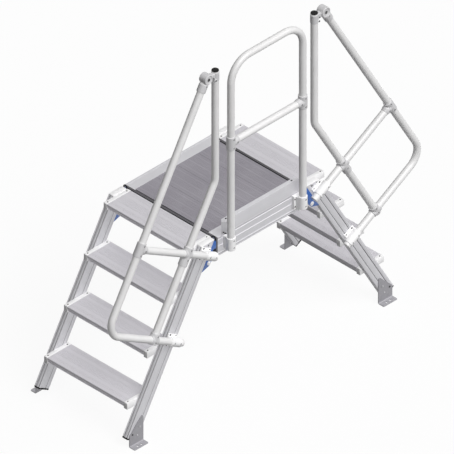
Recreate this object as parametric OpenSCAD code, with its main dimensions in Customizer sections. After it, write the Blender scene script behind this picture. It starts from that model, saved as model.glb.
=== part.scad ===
// Crossover platform: a fixed aluminium step-over with two steep flights, a
// short deck, and a guard and handrails along one side only.
// X runs across the obstacle, -Y is the railed side, Z = 0 is the floor.

/* [Flights] */
// Pitch of both flights above the floor, in degrees
pitch = 60; // [57:0.5:63]
// Height of one step
riser = 250; // [235:1:265]
// Length of a tread with its end brackets, which is the gap between stringers
tread_len = 605; // [500:5:900]
// Depth of the treads' tops below even steps from the floor to the deck
tread_sink = 3; // [0:0.5:6]
// Distance of the treads' back edges behind the stringers' back
tread_behind = 7; // [0:0.5:12]
// Depth of a tread from nosing to back edge
tread_depth = 174; // [150:1:190]
// Thickness of a tread plank
tread_t = 29.5; // [22:0.5:34]
// Wall thickness of the hollow tread planks
tread_wall = 2.5; // [1.5:0.1:4]
// Length of the bracket at each end of a tread
tread_end_len = 25; // [18:1:40]
// Height of the bracket at each end of a tread
tread_end_h = 38; // [34:1:50]
// Wall thickness of the tread end brackets
tread_end_wall = 4; // [2.5:0.1:6]

/* [Stringers] */
// Depth of a stringer profile, square to the slope
stringer_d = 80; // [70:1:100]
// Width of a stringer profile
stringer_w = 35; // [32:1:55]
// Wall thickness of a stringer profile
stringer_wall = 2.5; // [1.5:0.1:4]
// Depth of the sunk band along each side of a stringer
band_depth = 2; // [0.5:0.1:3]
// Distance of the sunk band from the stringer's back
band_from_back = 23; // [10:1:34]
// Width of the sunk band
band_w = 39; // [15:1:40]
// Thickness of the closing cap on top of a stringer
stringer_cap_t = 5; // [2:0.5:10]
// Thickness of the black shoe under a stringer
shoe_t = 9; // [4:0.5:15]
// Height of a shoe's lowest corner above the floor
shoe_lift = 15; // [8:1:30]

/* [Feet] */
// Thickness of the foot brackets' plate
foot_t = 5; // [3:0.5:8]
// Length of a foot bracket
foot_len = 100; // [85:1:120]
// Height of the taller side of a foot bracket
foot_h = 158; // [145:1:170]
// Height of the shorter side of a foot bracket
foot_low_h = 72; // [55:1:85]
// Width of a foot bracket's level top
foot_top_w = 14; // [6:1:30]
// Width of a foot bracket's floor flange, outside its plate
foot_flange_w = 37.5; // [32:0.5:60]
// Distance from a foot bracket's short side back to the shoe's front corner
foot_setback = 16; // [4:1:24]
// Diameter of a floor anchor hole
anchor_d = 12.5; // [10:0.5:14]
// Distance between a foot's two anchor holes
anchor_pitch = 27; // [24:1:40]
// Distance of the anchor holes from the foot's upright plate
anchor_from_plate = 21; // [18:0.5:24]

/* [Platform] */
// Length of the walking surface along X
deck_len = 606; // [570:1:900]
// Thickness of the deck planks
deck_t = 25; // [18:1:40]
// Wall thickness of the deck planks
deck_wall = 2.5; // [1.5:0.1:4]
// Width of a hollow chamber in the deck
deck_chamber_w = 72; // [50:1:120]
// Width of a platform side profile
side_w = 70; // [50:1:90]
// Height of a platform side profile
side_h = 118; // [100:1:140]
// Wall thickness of a platform side profile
side_wall = 3; // [2:0.1:5]
// Length of a side profile past the deck, at each end
side_over = 7; // [2:0.5:15]
// Thickness of the plates that close the platform's ends
end_plate_t = 12; // [6:0.5:20]
// Gap between an end plate and the flight
flight_gap = 4; // [1:0.5:6]
// Depth of a wedge bracket below the platform's side profile
wedge_drop = 50; // [20:1:60]
// Corner radius under a wedge bracket
wedge_r = 8; // [3:0.5:12]

/* [Guard] */
// Outer diameter of every rail tube
tube_d = 40; // [34:0.5:44]
// Wall thickness of every rail tube
tube_wall = 2.5; // [1.5:0.1:4]
// Height of the guard's top rail axis above the deck
guard_h = 1094; // [1000:1:1200]
// Height of the guard's middle rail axis above the deck
mid_rail_h = 598; // [450:1:650]
// Distance of a guard post from the platform's middle
guard_post_x = 261; // [240:1:262]
// Radius of the guard's two upper bends, at the tube's axis
guard_bend_r = 130; // [80:1:180]
// Distance of the guard's plane from the platform's side
guard_off = 47; // [44:1:60]
// Distance from the deck down to a post's lower end
post_drop = 73; // [60:1:80]
// Width of a post clamp's base
clamp_base_w = 72; // [64:1:90]
// Height of a post clamp's base
clamp_base_h = 83; // [70:1:88]
// Height of the toe board above the deck
toe_h = 80; // [70:1:150]
// Thickness of the toe board
toe_t = 25; // [12:0.5:30]
// Length of the toe board
toe_len = 570; // [450:1:600]
// Wall thickness of the toe board
toe_wall = 2; // [1:0.1:3]

/* [Handrails] */
// Distance of the handrails' plane from the stringer's outer face
rail_off = 31.5; // [27:0.5:40]
// Distance of the handrail above the stringers, square to the slope
hand_up = 539; // [450:1:700]
// Distance of the knee rail above the stringers, square to the slope
knee_up = 144; // [140:1:250]
// Distance of the lower strut from the foot of the stringer, along the slope
low_strut_run = 570; // [450:1:650]
// Distance of the upper strut from the foot of the stringer, along the slope
high_strut_run = 1056; // [950:1:1120]
// Radius of the handrail's lower bend, at the tube's axis
hand_bend_r = 100; // [70:1:140]
// Radius of the knee rail's bend, at the tube's axis
knee_bend_r = 80; // [50:1:120]
// Distance of the knee rail's upright part from the top tread's back edge
knee_out = 34; // [32:1:60]
// Height of the knee rail's upper end above the deck
knee_h = 1092; // [1000:1:1200]
// Thickness of the black caps on the knee rails
tube_cap_t = 8; // [3:0.5:15]
// Distance of the knuckle's pivot below the knee rail's upper end
knuckle_drop = 16; // [14:1:24]
// Radius of the knuckle's rounded body
knuckle_r = 29; // [26:1:36]
// Thickness of the knuckle's rounded body
knuckle_w = 48; // [42:1:49]
// Length of the knuckle's collar round the knee rail
collar_len = 52; // [44:1:60]

/* [Fittings] */
// Wall thickness of the tube fittings
fit_wall = 5; // [3:0.5:6.5]
// Radial clearance of a tube in its fitting
fit_gap = 0.2; // [0.1:0.05:0.4]
// Length of a tee's or cross's sleeve
sleeve_len = 66; // [56:1:90]
// Reach of a tee's or cross's side socket from its sleeve's axis
socket_reach = 46; // [36:1:60]
// Length of a stringer clamp's sleeve
stringer_clamp_len = 88; // [70:1:100]
// Width of a stringer clamp's base along the stringer
stringer_clamp_w = 70; // [60:1:90]
// Distance that a stringer clamp hangs over the stringer's back
stringer_clamp_over = 23; // [5:1:30]

/* [Hidden] */
$fn = 48;
steps = 4;
eps = 0.01;
colour_mill = [0.78, 0.78, 0.8];
colour_cast = [0.85, 0.85, 0.86];
colour_zinc = [0.6, 0.61, 0.62];
colour_deck = [0.6, 0.58, 0.61];
colour_blue = [0.24, 0.38, 0.66];
colour_black = [0.06, 0.06, 0.06];

// Levels and widths
deck_z = steps * riser;
going = riser / tan(pitch);
inner_y = tread_len / 2;
outer_y = inner_y + stringer_w;
side_len = deck_len + 2 * side_over;
side_x = side_len / 2;
flight_x = side_x + end_plate_t + flight_gap;
deck_y = outer_y - side_w;

// Places in a flight: "run" climbs along the stringer, "out" is square to it
stringer_x = flight_x + tread_behind;
stringer_back = stringer_x * sin(pitch) + deck_z * cos(pitch);
stringer_front = stringer_back + stringer_d;
foot_run = (shoe_lift - stringer_back * cos(pitch)) / sin(pitch);
hand_out = stringer_front + hand_up;
knee_axis_out = stringer_front + knee_up;
low_strut = foot_run + low_strut_run;
high_strut = foot_run + high_strut_run;
clamp_low_out = stringer_back - stringer_clamp_over;
foot_x = stringer_front * sin(pitch) - foot_run * cos(pitch) - foot_setback;

// Tubes and fittings
tube_r = tube_d / 2;
fit_r = tube_r + fit_wall;
bore_r = tube_r + fit_gap;
socket_start = tube_r + 2;
strut_start = clamp_low_out + fit_wall + 1;
rail_y = outer_y + rail_off;
guard_y = outer_y + guard_off;
clamp_base_t = guard_off - tube_r - 2;
stringer_clamp_t = rail_off - tube_r - 2;
knee_x = flight_x + knee_out;
knee_top = deck_z + knee_h;
knee_bend_z = (knee_axis_out + knee_bend_r - (knee_x + knee_bend_r) * sin(pitch)) / cos(pitch);
knee_bend_run = knee_bend_z * sin(pitch) - (knee_x + knee_bend_r) * cos(pitch);
knuckle_z = knee_top - knuckle_drop;
knuckle_x = (hand_out - knuckle_z * cos(pitch)) / sin(pitch);
knuckle_run = knuckle_z * sin(pitch) - knuckle_x * cos(pitch);
hand_top_run = knuckle_run - knuckle_r;

// The whole stands with its footprint's middle on the origin
near_reach = guard_y + fit_r;
far_reach = outer_y + foot_t + foot_flange_w;
middle_shift = (near_reach - far_reach) / 2;

// ---- Placing ----

// Puts a piece drawn on the right far side onto side x (-1 left, 1 right)
// and edge y (-1 near, 1 far)
module place(x, y) {
    translate([0, middle_shift, 0])
        mirror([x < 0 ? 1 : 0, 0, 0])
            mirror([0, y < 0 ? 1 : 0, 0])
                children();
}

// Turns the flight's own axes into place: +Z climbs, +X points out of the slope
module on_slope() {
    rotate([0, pitch - 90, 0]) children();
}

// Extrudes a 2D outline drawn in X and Z from y_low to y_high
module slab(y_low, y_high) {
    translate([0, y_high, 0]) rotate([90, 0, 0]) linear_extrude(y_high - y_low) children();
}

// ---- Shared shapes ----

module box_profile(w, h, wall) {
    difference() {
        square([w, h]);
        translate([wall, wall]) square([w - 2 * wall, h - 2 * wall]);
    }
}

module tube_ring() {
    difference() {
        circle(tube_r);
        circle(tube_r - tube_wall);
    }
}

// A straight tube along +Z
module tube(length) {
    linear_extrude(length) tube_ring();
}

// A bent tube in the XZ plane about the origin, from one angle to another
module tube_bend(bend_r, from, to) {
    rotate([90, 0, 0])
        rotate([0, 0, from])
            rotate_extrude(angle = to - from, $fn = 96)
                translate([bend_r, 0]) tube_ring();
}

// A sleeve along Z with side sockets towards each X direction in the list
module fitting(length, reach, sockets) {
    difference() {
        union() {
            cylinder(r = fit_r, h = length, center = true);
            for (s = sockets) rotate([0, s * 90, 0]) cylinder(r = fit_r, h = reach);
        }
        cylinder(r = bore_r, h = length + 1, center = true);
        for (s = sockets) rotate([0, s * 90, 0]) cylinder(r = bore_r, h = reach + 1);
    }
}

// ---- Flights ----

module stringer_outline() {
    difference() {
        square([stringer_d, stringer_w]);
        translate([stringer_wall, stringer_wall + band_depth])
            square([stringer_d - 2 * stringer_wall, stringer_w - 2 * stringer_wall - 2 * band_depth]);
        for (y = [0, stringer_w - band_depth])
            translate([band_from_back, y]) square([band_w, band_depth]);
    }
}

module stringer(x, y) {
    reach = deck_z / sin(pitch) + stringer_d;
    color(colour_mill) place(x, y)
        difference() {
            on_slope()
                translate([stringer_back, inner_y, foot_run + shoe_t])
                    linear_extrude(reach) stringer_outline();
            translate([0, inner_y - 1, deck_z - stringer_cap_t])
                cube([deck_z, stringer_w + 2, deck_z]);
        }
}

module stringer_caps() {
    low = deck_z - stringer_cap_t;
    color(colour_cast)
        for (x = [-1, 1], y = [-1, 1]) place(x, y)
            slab(inner_y, outer_y)
                polygon([
                    for (p = [[stringer_back, low], [stringer_front, low],
                              [stringer_front, deck_z], [stringer_back, deck_z]])
                        [(p[0] - p[1] * cos(pitch)) / sin(pitch), p[1]]
                ]);
}

module stringer_shoes() {
    color(colour_black)
        for (x = [-1, 1], y = [-1, 1]) place(x, y)
            on_slope()
                translate([stringer_back, inner_y, foot_run])
                    cube([stringer_d, stringer_w, shoe_t]);
}

module foot(x, y) {
    back = foot_x - foot_len;
    color(colour_zinc) place(x, y) {
        slab(outer_y, outer_y + foot_t)
            polygon([[back, 0], [foot_x, 0], [foot_x, foot_low_h],
                     [back + foot_top_w, foot_h], [back, foot_h]]);
        difference() {
            translate([back, outer_y + foot_t, 0]) cube([foot_len, foot_flange_w, foot_t]);
            for (s = [-1, 1])
                translate([back + foot_len / 2 + s * anchor_pitch / 2,
                           outer_y + foot_t + anchor_from_plate, -1])
                    cylinder(d = anchor_d, h = foot_t + 2);
        }
    }
}

// Back edge and top of step i, counted up from the floor
function step_x(i) = flight_x + (steps - i) * going;
function step_z(i) = i * riser - tread_sink;

module tread(x, i) {
    half = inner_y - tread_end_len;
    chamber = (tread_depth - 4 * tread_wall) / 3;
    color(colour_mill) place(x, 1)
        translate([step_x(i), 0, step_z(i) - tread_t])
            slab(-half, half)
                difference() {
                    square([tread_depth, tread_t]);
                    for (n = [0:2])
                        translate([tread_wall + n * (chamber + tread_wall), tread_wall])
                            square([chamber, tread_t - 2 * tread_wall]);
                }
}

module tread_ends(x) {
    color(colour_cast)
        for (i = [1:steps], y = [-1, 1]) place(x, y)
            translate([step_x(i), inner_y - tread_end_len, step_z(i) - tread_end_h])
                difference() {
                    cube([tread_depth, tread_end_len, tread_end_h]);
                    translate([tread_end_wall, tread_end_wall, -tread_end_wall])
                        cube([tread_depth - 2 * tread_end_wall,
                              tread_end_len - 2 * tread_end_wall, tread_end_h]);
                }
}

// ---- Platform ----

module platform_side(y) {
    color(colour_mill) place(1, y)
        translate([-side_x, deck_y, deck_z - side_h])
            rotate([90, 0, 90])
                linear_extrude(side_len) box_profile(side_w, side_h, side_wall);
}

module platform_end(x) {
    color(colour_black) place(x, 1)
        translate([side_x, -outer_y, deck_z - side_h])
            cube([end_plate_t, 2 * outer_y, side_h]);
}

module deck() {
    count = floor((deck_len - deck_wall) / (deck_chamber_w + deck_wall));
    chamber = (deck_len - deck_wall) / count - deck_wall;
    color(colour_deck) place(1, 1)
        translate([-deck_len / 2, 0, deck_z - deck_t])
            slab(-deck_y, deck_y)
                difference() {
                    square([deck_len, deck_t]);
                    for (n = [0:count - 1])
                        translate([deck_wall + n * (chamber + deck_wall), deck_wall])
                            square([chamber, deck_t - 2 * deck_wall]);
                }
}

// Fills the corner between an end plate and the leaning back of the stringer
module wedges(x) {
    plate_x = side_x + end_plate_t;
    low = deck_z - side_h - wedge_drop;
    back_at_low = (stringer_back - low * cos(pitch)) / sin(pitch);
    turn_z = deck_z - side_h + wedge_r;
    color(colour_blue)
        for (y = [-1, 1]) place(x, y)
            slab(inner_y, outer_y)
                difference() {
                    polygon([[plate_x, deck_z], [stringer_x, deck_z], [back_at_low, low],
                             [plate_x + wedge_r, deck_z - side_h], [plate_x, turn_z]]);
                    translate([plate_x, deck_z - side_h]) circle(wedge_r / 4);
                }
}

module toe_board() {
    color(colour_mill) place(1, -1)
        translate([-toe_len / 2, outer_y - toe_t, deck_z])
            rotate([90, 0, 90])
                linear_extrude(toe_len) box_profile(toe_t, toe_h, toe_wall);
}

// ---- Guard ----

module guard_hoop() {
    bend_z = deck_z + guard_h - guard_bend_r;
    bottom = deck_z - post_drop;
    color(colour_mill) place(1, -1)
        translate([0, guard_y, 0]) {
            for (s = [-1, 1])
                translate([s * guard_post_x, 0, bottom]) tube(bend_z - bottom);
            translate([guard_post_x - guard_bend_r, 0, bend_z]) tube_bend(guard_bend_r, 0, 90);
            translate([guard_bend_r - guard_post_x, 0, bend_z]) tube_bend(guard_bend_r, 90, 180);
            translate([guard_bend_r - guard_post_x, 0, deck_z + guard_h])
                rotate([0, 90, 0]) tube(2 * (guard_post_x - guard_bend_r));
        }
}

module guard_mid_rail() {
    half = guard_post_x - socket_start;
    color(colour_mill) place(1, -1)
        translate([-half, guard_y, deck_z + mid_rail_h]) rotate([0, 90, 0]) tube(2 * half);
}

module guard_tees() {
    color(colour_cast)
        for (x = [-1, 1]) place(x, -1)
            translate([guard_post_x, guard_y, deck_z + mid_rail_h])
                fitting(sleeve_len, socket_reach, [-1]);
}

module guard_post_clamps() {
    bottom = deck_z - post_drop - fit_wall;
    color(colour_cast)
        for (x = [-1, 1]) place(x, -1)
            difference() {
                union() {
                    translate([guard_post_x - clamp_base_w / 2, outer_y, deck_z - clamp_base_h - 2])
                        cube([clamp_base_w, clamp_base_t, clamp_base_h]);
                    translate([guard_post_x, guard_y, bottom])
                        cylinder(r = fit_r, h = deck_z - 2 - bottom);
                }
                translate([guard_post_x, guard_y, bottom - 1])
                    cylinder(r = bore_r, h = deck_z + 1 - bottom);
            }
}

// ---- Handrails ----

module handrail(x) {
    bend_out = hand_out - hand_bend_r;
    bend_run = low_strut + hand_bend_r;
    color(colour_mill) place(x, -1)
        translate([0, rail_y, 0]) on_slope() {
            translate([hand_out, 0, bend_run]) tube(hand_top_run - bend_run);
            translate([bend_out, 0, bend_run]) tube_bend(hand_bend_r, -90, 0);
            translate([strut_start, 0, low_strut]) rotate([0, 90, 0]) tube(bend_out - strut_start);
        }
}

// The upright is a separate length, butted onto the bend
module knee_rail(x) {
    start = low_strut + socket_start;
    color(colour_mill) place(x, -1)
        translate([0, rail_y, 0]) on_slope() {
            translate([knee_axis_out, 0, start]) tube(knee_bend_run - start);
            translate([knee_axis_out + knee_bend_r, 0, knee_bend_run]) {
                tube_bend(knee_bend_r, 90 + pitch, 180);
                rotate([0, 90 - pitch, 0])
                    translate([-knee_bend_r, 0, 0]) tube(knee_top - knee_bend_z);
            }
        }
}

// The upper strut is in two lengths, one on each side of the knee rail
module strut(x) {
    lower = knee_axis_out - socket_start - strut_start;
    upper = hand_up - knee_up - 2 * socket_start;
    color(colour_mill) place(x, -1)
        translate([0, rail_y, 0]) on_slope() {
            translate([strut_start, 0, high_strut]) rotate([0, 90, 0]) tube(lower);
            translate([knee_axis_out + socket_start, 0, high_strut])
                rotate([0, 90, 0]) tube(upper);
        }
}

module rail_tees(x) {
    color(colour_cast) place(x, -1)
        translate([0, rail_y, 0]) on_slope() {
            translate([hand_out, 0, high_strut]) fitting(sleeve_len, socket_reach, [-1]);
            translate([knee_axis_out, 0, high_strut]) fitting(sleeve_len, socket_reach, [-1, 1]);
            translate([knee_axis_out, 0, low_strut])
                rotate([0, -90, 0]) fitting(sleeve_len, socket_reach, [1]);
        }
}

module stringer_clamps(x) {
    color(colour_cast) place(x, -1) on_slope()
        for (run = [low_strut, high_strut])
            difference() {
                union() {
                    translate([clamp_low_out, rail_y, run])
                        rotate([0, 90, 0]) cylinder(r = fit_r, h = stringer_clamp_len);
                    translate([stringer_back, outer_y, run - stringer_clamp_w / 2])
                        cube([stringer_clamp_len - stringer_clamp_over, stringer_clamp_t,
                              stringer_clamp_w]);
                }
                translate([clamp_low_out + fit_wall, rail_y, run])
                    rotate([0, 90, 0]) cylinder(r = bore_r, h = stringer_clamp_len);
            }
}

module knuckle(x) {
    arm_t = 2 * tube_r - 12;
    arm_low = knuckle_z - 0.75 * knuckle_r;
    collar_z = knee_top - 4 - collar_len;
    color(colour_cast) place(x, -1)
        translate([0, rail_y, 0])
            difference() {
                union() {
                    translate([knee_x, 0, collar_z]) cylinder(r = fit_r, h = collar_len);
                    slab(-arm_t / 2, arm_t / 2)
                        translate([knee_x, arm_low])
                            square([knuckle_x - knee_x, knee_top - 6 - arm_low]);
                    slab(-knuckle_w / 2, knuckle_w / 2)
                        translate([knuckle_x, knuckle_z]) circle(knuckle_r);
                    on_slope() translate([hand_out, 0, hand_top_run - socket_reach])
                        cylinder(r = fit_r, h = socket_reach + knuckle_r / 2);
                }
                translate([knee_x, 0, collar_z - 1]) cylinder(r = bore_r, h = collar_len + 2);
                on_slope() translate([hand_out, 0, hand_top_run - 2 * socket_reach])
                    cylinder(r = bore_r, h = 2 * socket_reach + 1);
            }
}

module rail_caps() {
    color(colour_black)
        for (x = [-1, 1]) place(x, -1)
            translate([knee_x, rail_y, knee_top]) cylinder(r = tube_r, h = tube_cap_t);
}

stringer(-1, -1);  // stringer_left_near
stringer(-1, 1);  // stringer_left_far
stringer(1, -1);  // stringer_right_near
stringer(1, 1);  // stringer_right_far
stringer_caps();
stringer_shoes();
foot(-1, -1);  // foot_left_near
foot(-1, 1);  // foot_left_far
foot(1, -1);  // foot_right_near
foot(1, 1);  // foot_right_far
tread(-1, 1);  // tread_left_1
tread(-1, 2);  // tread_left_2
tread(-1, 3);  // tread_left_3
tread(-1, 4);  // tread_left_4
tread(1, 1);  // tread_right_1
tread(1, 2);  // tread_right_2
tread(1, 3);  // tread_right_3
tread(1, 4);  // tread_right_4
tread_ends(-1);  // tread_ends_left
tread_ends(1);  // tread_ends_right
platform_side(-1);  // platform_side_near
platform_side(1);  // platform_side_far
platform_end(-1);  // platform_end_left
platform_end(1);  // platform_end_right
deck();
toe_board();
wedges(-1);  // wedges_left
wedges(1);  // wedges_right
guard_hoop();
guard_mid_rail();
guard_tees();
guard_post_clamps();
handrail(-1);  // handrail_left
handrail(1);  // handrail_right
knee_rail(-1);  // knee_rail_left
knee_rail(1);  // knee_rail_right
strut(-1);  // strut_left
strut(1);  // strut_right
rail_tees(-1);  // rail_tees_left
rail_tees(1);  // rail_tees_right
stringer_clamps(-1);  // stringer_clamps_left
stringer_clamps(1);  // stringer_clamps_right
knuckle(-1);  // knuckle_left
knuckle(1);  // knuckle_right
rail_caps();
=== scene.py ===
"""Crossover platform: an aluminium step-over with a guard and handrails on one side."""

from math import atan2, cos, pi, radians, sin, tan

import bmesh
import bpy
from bpy.props import FloatProperty, FloatVectorProperty, IntProperty, PointerProperty
from bpy.types import Operator, Panel, PropertyGroup
from mathutils import Matrix, Vector


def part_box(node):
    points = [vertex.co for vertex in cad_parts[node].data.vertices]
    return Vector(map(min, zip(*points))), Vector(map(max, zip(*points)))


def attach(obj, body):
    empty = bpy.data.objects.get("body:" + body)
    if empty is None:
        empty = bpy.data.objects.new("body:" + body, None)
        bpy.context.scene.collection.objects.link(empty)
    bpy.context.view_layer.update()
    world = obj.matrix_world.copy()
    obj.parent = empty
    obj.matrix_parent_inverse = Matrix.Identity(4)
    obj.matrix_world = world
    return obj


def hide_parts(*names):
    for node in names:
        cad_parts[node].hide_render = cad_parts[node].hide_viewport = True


bl_info = {
    "name": "Crossover platform",
    "version": (1, 0, 0),
    "blender": (4, 5, 0),
    "location": "View3D > Sidebar > Crossover",
    "description": "Builds the pieces, finishes and studio of an aluminium crossover platform",
    "category": "Object",
}

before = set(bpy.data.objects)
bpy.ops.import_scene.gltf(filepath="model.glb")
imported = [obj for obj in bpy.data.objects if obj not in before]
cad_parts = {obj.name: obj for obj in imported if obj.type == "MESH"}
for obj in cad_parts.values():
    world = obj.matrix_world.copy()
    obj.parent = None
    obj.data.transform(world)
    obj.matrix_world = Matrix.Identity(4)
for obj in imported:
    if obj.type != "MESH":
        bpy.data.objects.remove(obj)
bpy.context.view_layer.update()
SIDES = (("left", -1), ("right", 1))
EDGES = (("near", -1), ("far", 1))


# ---- Places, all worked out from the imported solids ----


def box(node):
    low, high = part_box(node)
    return Vector(low), Vector(high)


DECK_LOW, DECK_HIGH = box("deck")
DECK_Z = DECK_HIGH.z
MIDDLE_Y = (DECK_LOW.y + DECK_HIGH.y) / 2
STEPS = 4
TREADS = [box(f"tread_right_{n + 1}") for n in range(STEPS)]
RISER = TREADS[1][1].z - TREADS[0][1].z
GOING = TREADS[0][0].x - TREADS[1][0].x
PITCH = atan2(RISER, GOING)
SIN, COS = sin(PITCH), cos(PITCH)
TREAD_HALF = (TREADS[0][1].y - TREADS[0][0].y) / 2
ENDS_LOW, ENDS_HIGH = box("tread_ends_right")
INNER_Y = (ENDS_HIGH.y - ENDS_LOW.y) / 2
TREAD_END_H = TREADS[0][1].z - ENDS_LOW.z
CAPS_LOW, CAPS_HIGH = box("stringer_caps")
OUTER_Y = (CAPS_HIGH.y - CAPS_LOW.y) / 2
CAP_T = CAPS_HIGH.z - CAPS_LOW.z
STRINGER_W = OUTER_Y - INNER_Y

# In a flight, "run" climbs along the stringer and "out" is square to it
BACK_OUT = box("stringer_right_near")[0].x * SIN + CAPS_LOW.z * COS
STRINGER_X = (BACK_OUT - DECK_Z * COS) / SIN
FRONT_OUT = CAPS_HIGH.x * SIN + CAPS_LOW.z * COS
SHOE_LOW = box("stringer_shoes")[0]
FOOT_RUN = (SHOE_LOW.z - BACK_OUT * COS) / SIN
SHOE_T = (box("stringer_right_near")[0].z - SHOE_LOW.z) / SIN

SIDE_LOW, SIDE_HIGH = box("platform_side_far")
END_LOW, END_HIGH = box("platform_end_right")
WEDGE_LOW = box("wedges_right")[0]
TOE_LOW, TOE_HIGH = box("toe_board")

# The rails stand off the near side; their distances here are from the middle of the width
GUARD_LOW, GUARD_HIGH = box("guard_hoop")
TUBE_R = (GUARD_HIGH.y - GUARD_LOW.y) / 2
GUARD_Y = MIDDLE_Y - (GUARD_LOW.y + GUARD_HIGH.y) / 2
GUARD_X = GUARD_HIGH.x - TUBE_R
GUARD_TOP = GUARD_HIGH.z - TUBE_R
MID_LOW, MID_HIGH = box("guard_mid_rail")
MID_RAIL_Z = (MID_LOW.z + MID_HIGH.z) / 2
TUBE_END = GUARD_X - MID_HIGH.x


def slope_point(x, z):
    """(out, run) of a point of the right flight."""
    return x * SIN + z * COS, z * SIN - x * COS


STRUT_LOW, STRUT_HIGH = box("strut_right")
RAIL_Y = MIDDLE_Y - (STRUT_LOW.y + STRUT_HIGH.y) / 2
STRUT_START, HIGH_STRUT = slope_point(STRUT_LOW.x + TUBE_R * COS, STRUT_LOW.z + TUBE_R * SIN)
HAND_OUT = slope_point(STRUT_HIGH.x - TUBE_R * COS, STRUT_HIGH.z - TUBE_R * SIN)[0] + TUBE_END
KNEE_LOW, KNEE_HIGH = box("knee_rail_right")
KNEE_X = KNEE_LOW.x + TUBE_R
KNEE_TOP = KNEE_HIGH.z
KNEE_OUT, KNEE_START = slope_point(KNEE_HIGH.x - TUBE_R * SIN, KNEE_LOW.z + TUBE_R * COS)
LOW_STRUT = KNEE_START - TUBE_END
HAND_HIGH = box("handrail_right")[1]
HAND_BEND_R = (HAND_HIGH.x - TUBE_R + LOW_STRUT * COS - HAND_OUT * SIN) / (1 - COS - SIN)
HAND_TOP = (HAND_HIGH.z - TUBE_R * COS - HAND_OUT * COS) / SIN
FIT_R = KNEE_X - box("knuckle_right")[0].x
CAP_TOP = box("rail_caps")[1].z


def place(x, y):
    """Puts a piece drawn on the right far side about the middle onto side x and edge y."""
    return Matrix.Translation((0, MIDDLE_Y, 0)) @ Matrix.Diagonal((x, y, 1, 1))


def move(x=0.0, y=0.0, z=0.0):
    return Matrix.Translation((x, y, z))


def turn(degrees, axis):
    return Matrix.Rotation(radians(degrees), 4, axis)


def axes(x, y, z, at=(0, 0, 0)):
    """A frame from its three axes and its origin."""
    return Matrix.Translation(at) @ Matrix((x, y, z)).transposed().to_4x4()


# A flight's frame: X is out, Y across, Z up the run
SLOPE = axes((SIN, 0, COS), (0, 1, 0), (-COS, 0, SIN))
# An outline drawn in X and Y, to stand in the XZ or the YZ plane
IN_XZ = axes((1, 0, 0), (0, 0, 1), (0, -1, 0))
IN_YZ = axes((0, 1, 0), (0, 0, 1), (1, 0, 0))
# A frame whose Z points across the width, for fixings on a side face
ACROSS = axes((1, 0, 0), (0, 0, -1), (0, 1, 0))
# The same for a face that looks to the middle of the width
BACKWARDS = ACROSS @ turn(180, "X")
# A frame in a flight whose Z points out and whose X climbs, for the struts
OUTWARDS = axes((0, 0, 1), (0, -1, 0), (1, 0, 0))
# Mirrors to the other flight, and to the other side of the width
MIRROR_X = Matrix.Diagonal((-1, 1, 1, 1))
MIRROR_Y = place(1, -1) @ place(1, 1).inverted()


# ---- Sizes and colours that a user can change ----


def length(name, text, default):
    return FloatProperty(name=name, description=text, default=default, unit="LENGTH", precision=4)


def colour(name, text, default):
    return FloatVectorProperty(
        name=name, description=text, default=default, subtype="COLOR", size=3, min=0, max=1
    )


def pair(name, text, default):
    return FloatVectorProperty(
        name=name, description=text, default=default, size=2, unit="LENGTH", precision=4
    )


class ProfileSizes(PropertyGroup):
    rib_pitch: length("Rib pitch", "Distance between the fine ribs of a tread", 0.005)
    rib_depth: length("Rib depth", "Depth of the grooves between a tread's ribs", 0.0005)
    band_w: length("Band width", "Width of the plain bands between rib fields", 0.018)
    band_in: length("Band inset", "Distance of the plain bands from a tread's edges", 0.036)
    edge_r: length("Edge radius", "Rounding of a stringer's long edges", 0.0006)
    groove_w: length("Groove width", "Width of the grooves in a stringer's edges", 0.0080)
    groove_in: length("Groove inset", "Distance of those grooves from the sides", 0.0038)
    groove_depth: length("Groove depth", "Depth of those grooves", 0.0070)
    band_depth: length("Web depth", "Depth of the sunk web on a stringer's sides", 0.002)
    web_start: length("Web start", "Distance of the sunk web from the stringer's back", 0.023)
    web_w: length("Web width", "Width of the sunk web", 0.039)
    web_line: length("Web line", "Width of the deeper lines along the web's edges", 0.0042)
    tube_wall: length("Tube wall", "Wall thickness shown at open tube ends", 0.0025)


class PlateSizes(PropertyGroup):
    foot_t: length("Foot plate", "Thickness of a foot's plate", 0.005)
    foot_bend: length("Foot bend", "Outer radius of a foot's bend", 0.008)
    foot_low: length("Foot slant start", "Height where a foot's slanted edge starts", 0.072)
    foot_corner: length("Foot corner", "Rounding of a foot plate's corners", 0.014)
    flange_corner: length("Flange corner", "Rounding of a foot's floor flange", 0.006)
    anchor_r: length("Anchor hole", "Radius of the anchor holes", 0.00625)
    anchor_pitch: length("Anchor pitch", "Distance between a foot's anchor holes", 0.027)
    anchor_in: length("Anchor inset", "Distance of the anchor holes from the plate", 0.021)
    end_wall: length("Bracket wall", "Wall thickness of a tread's end bracket", 0.004)


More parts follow.
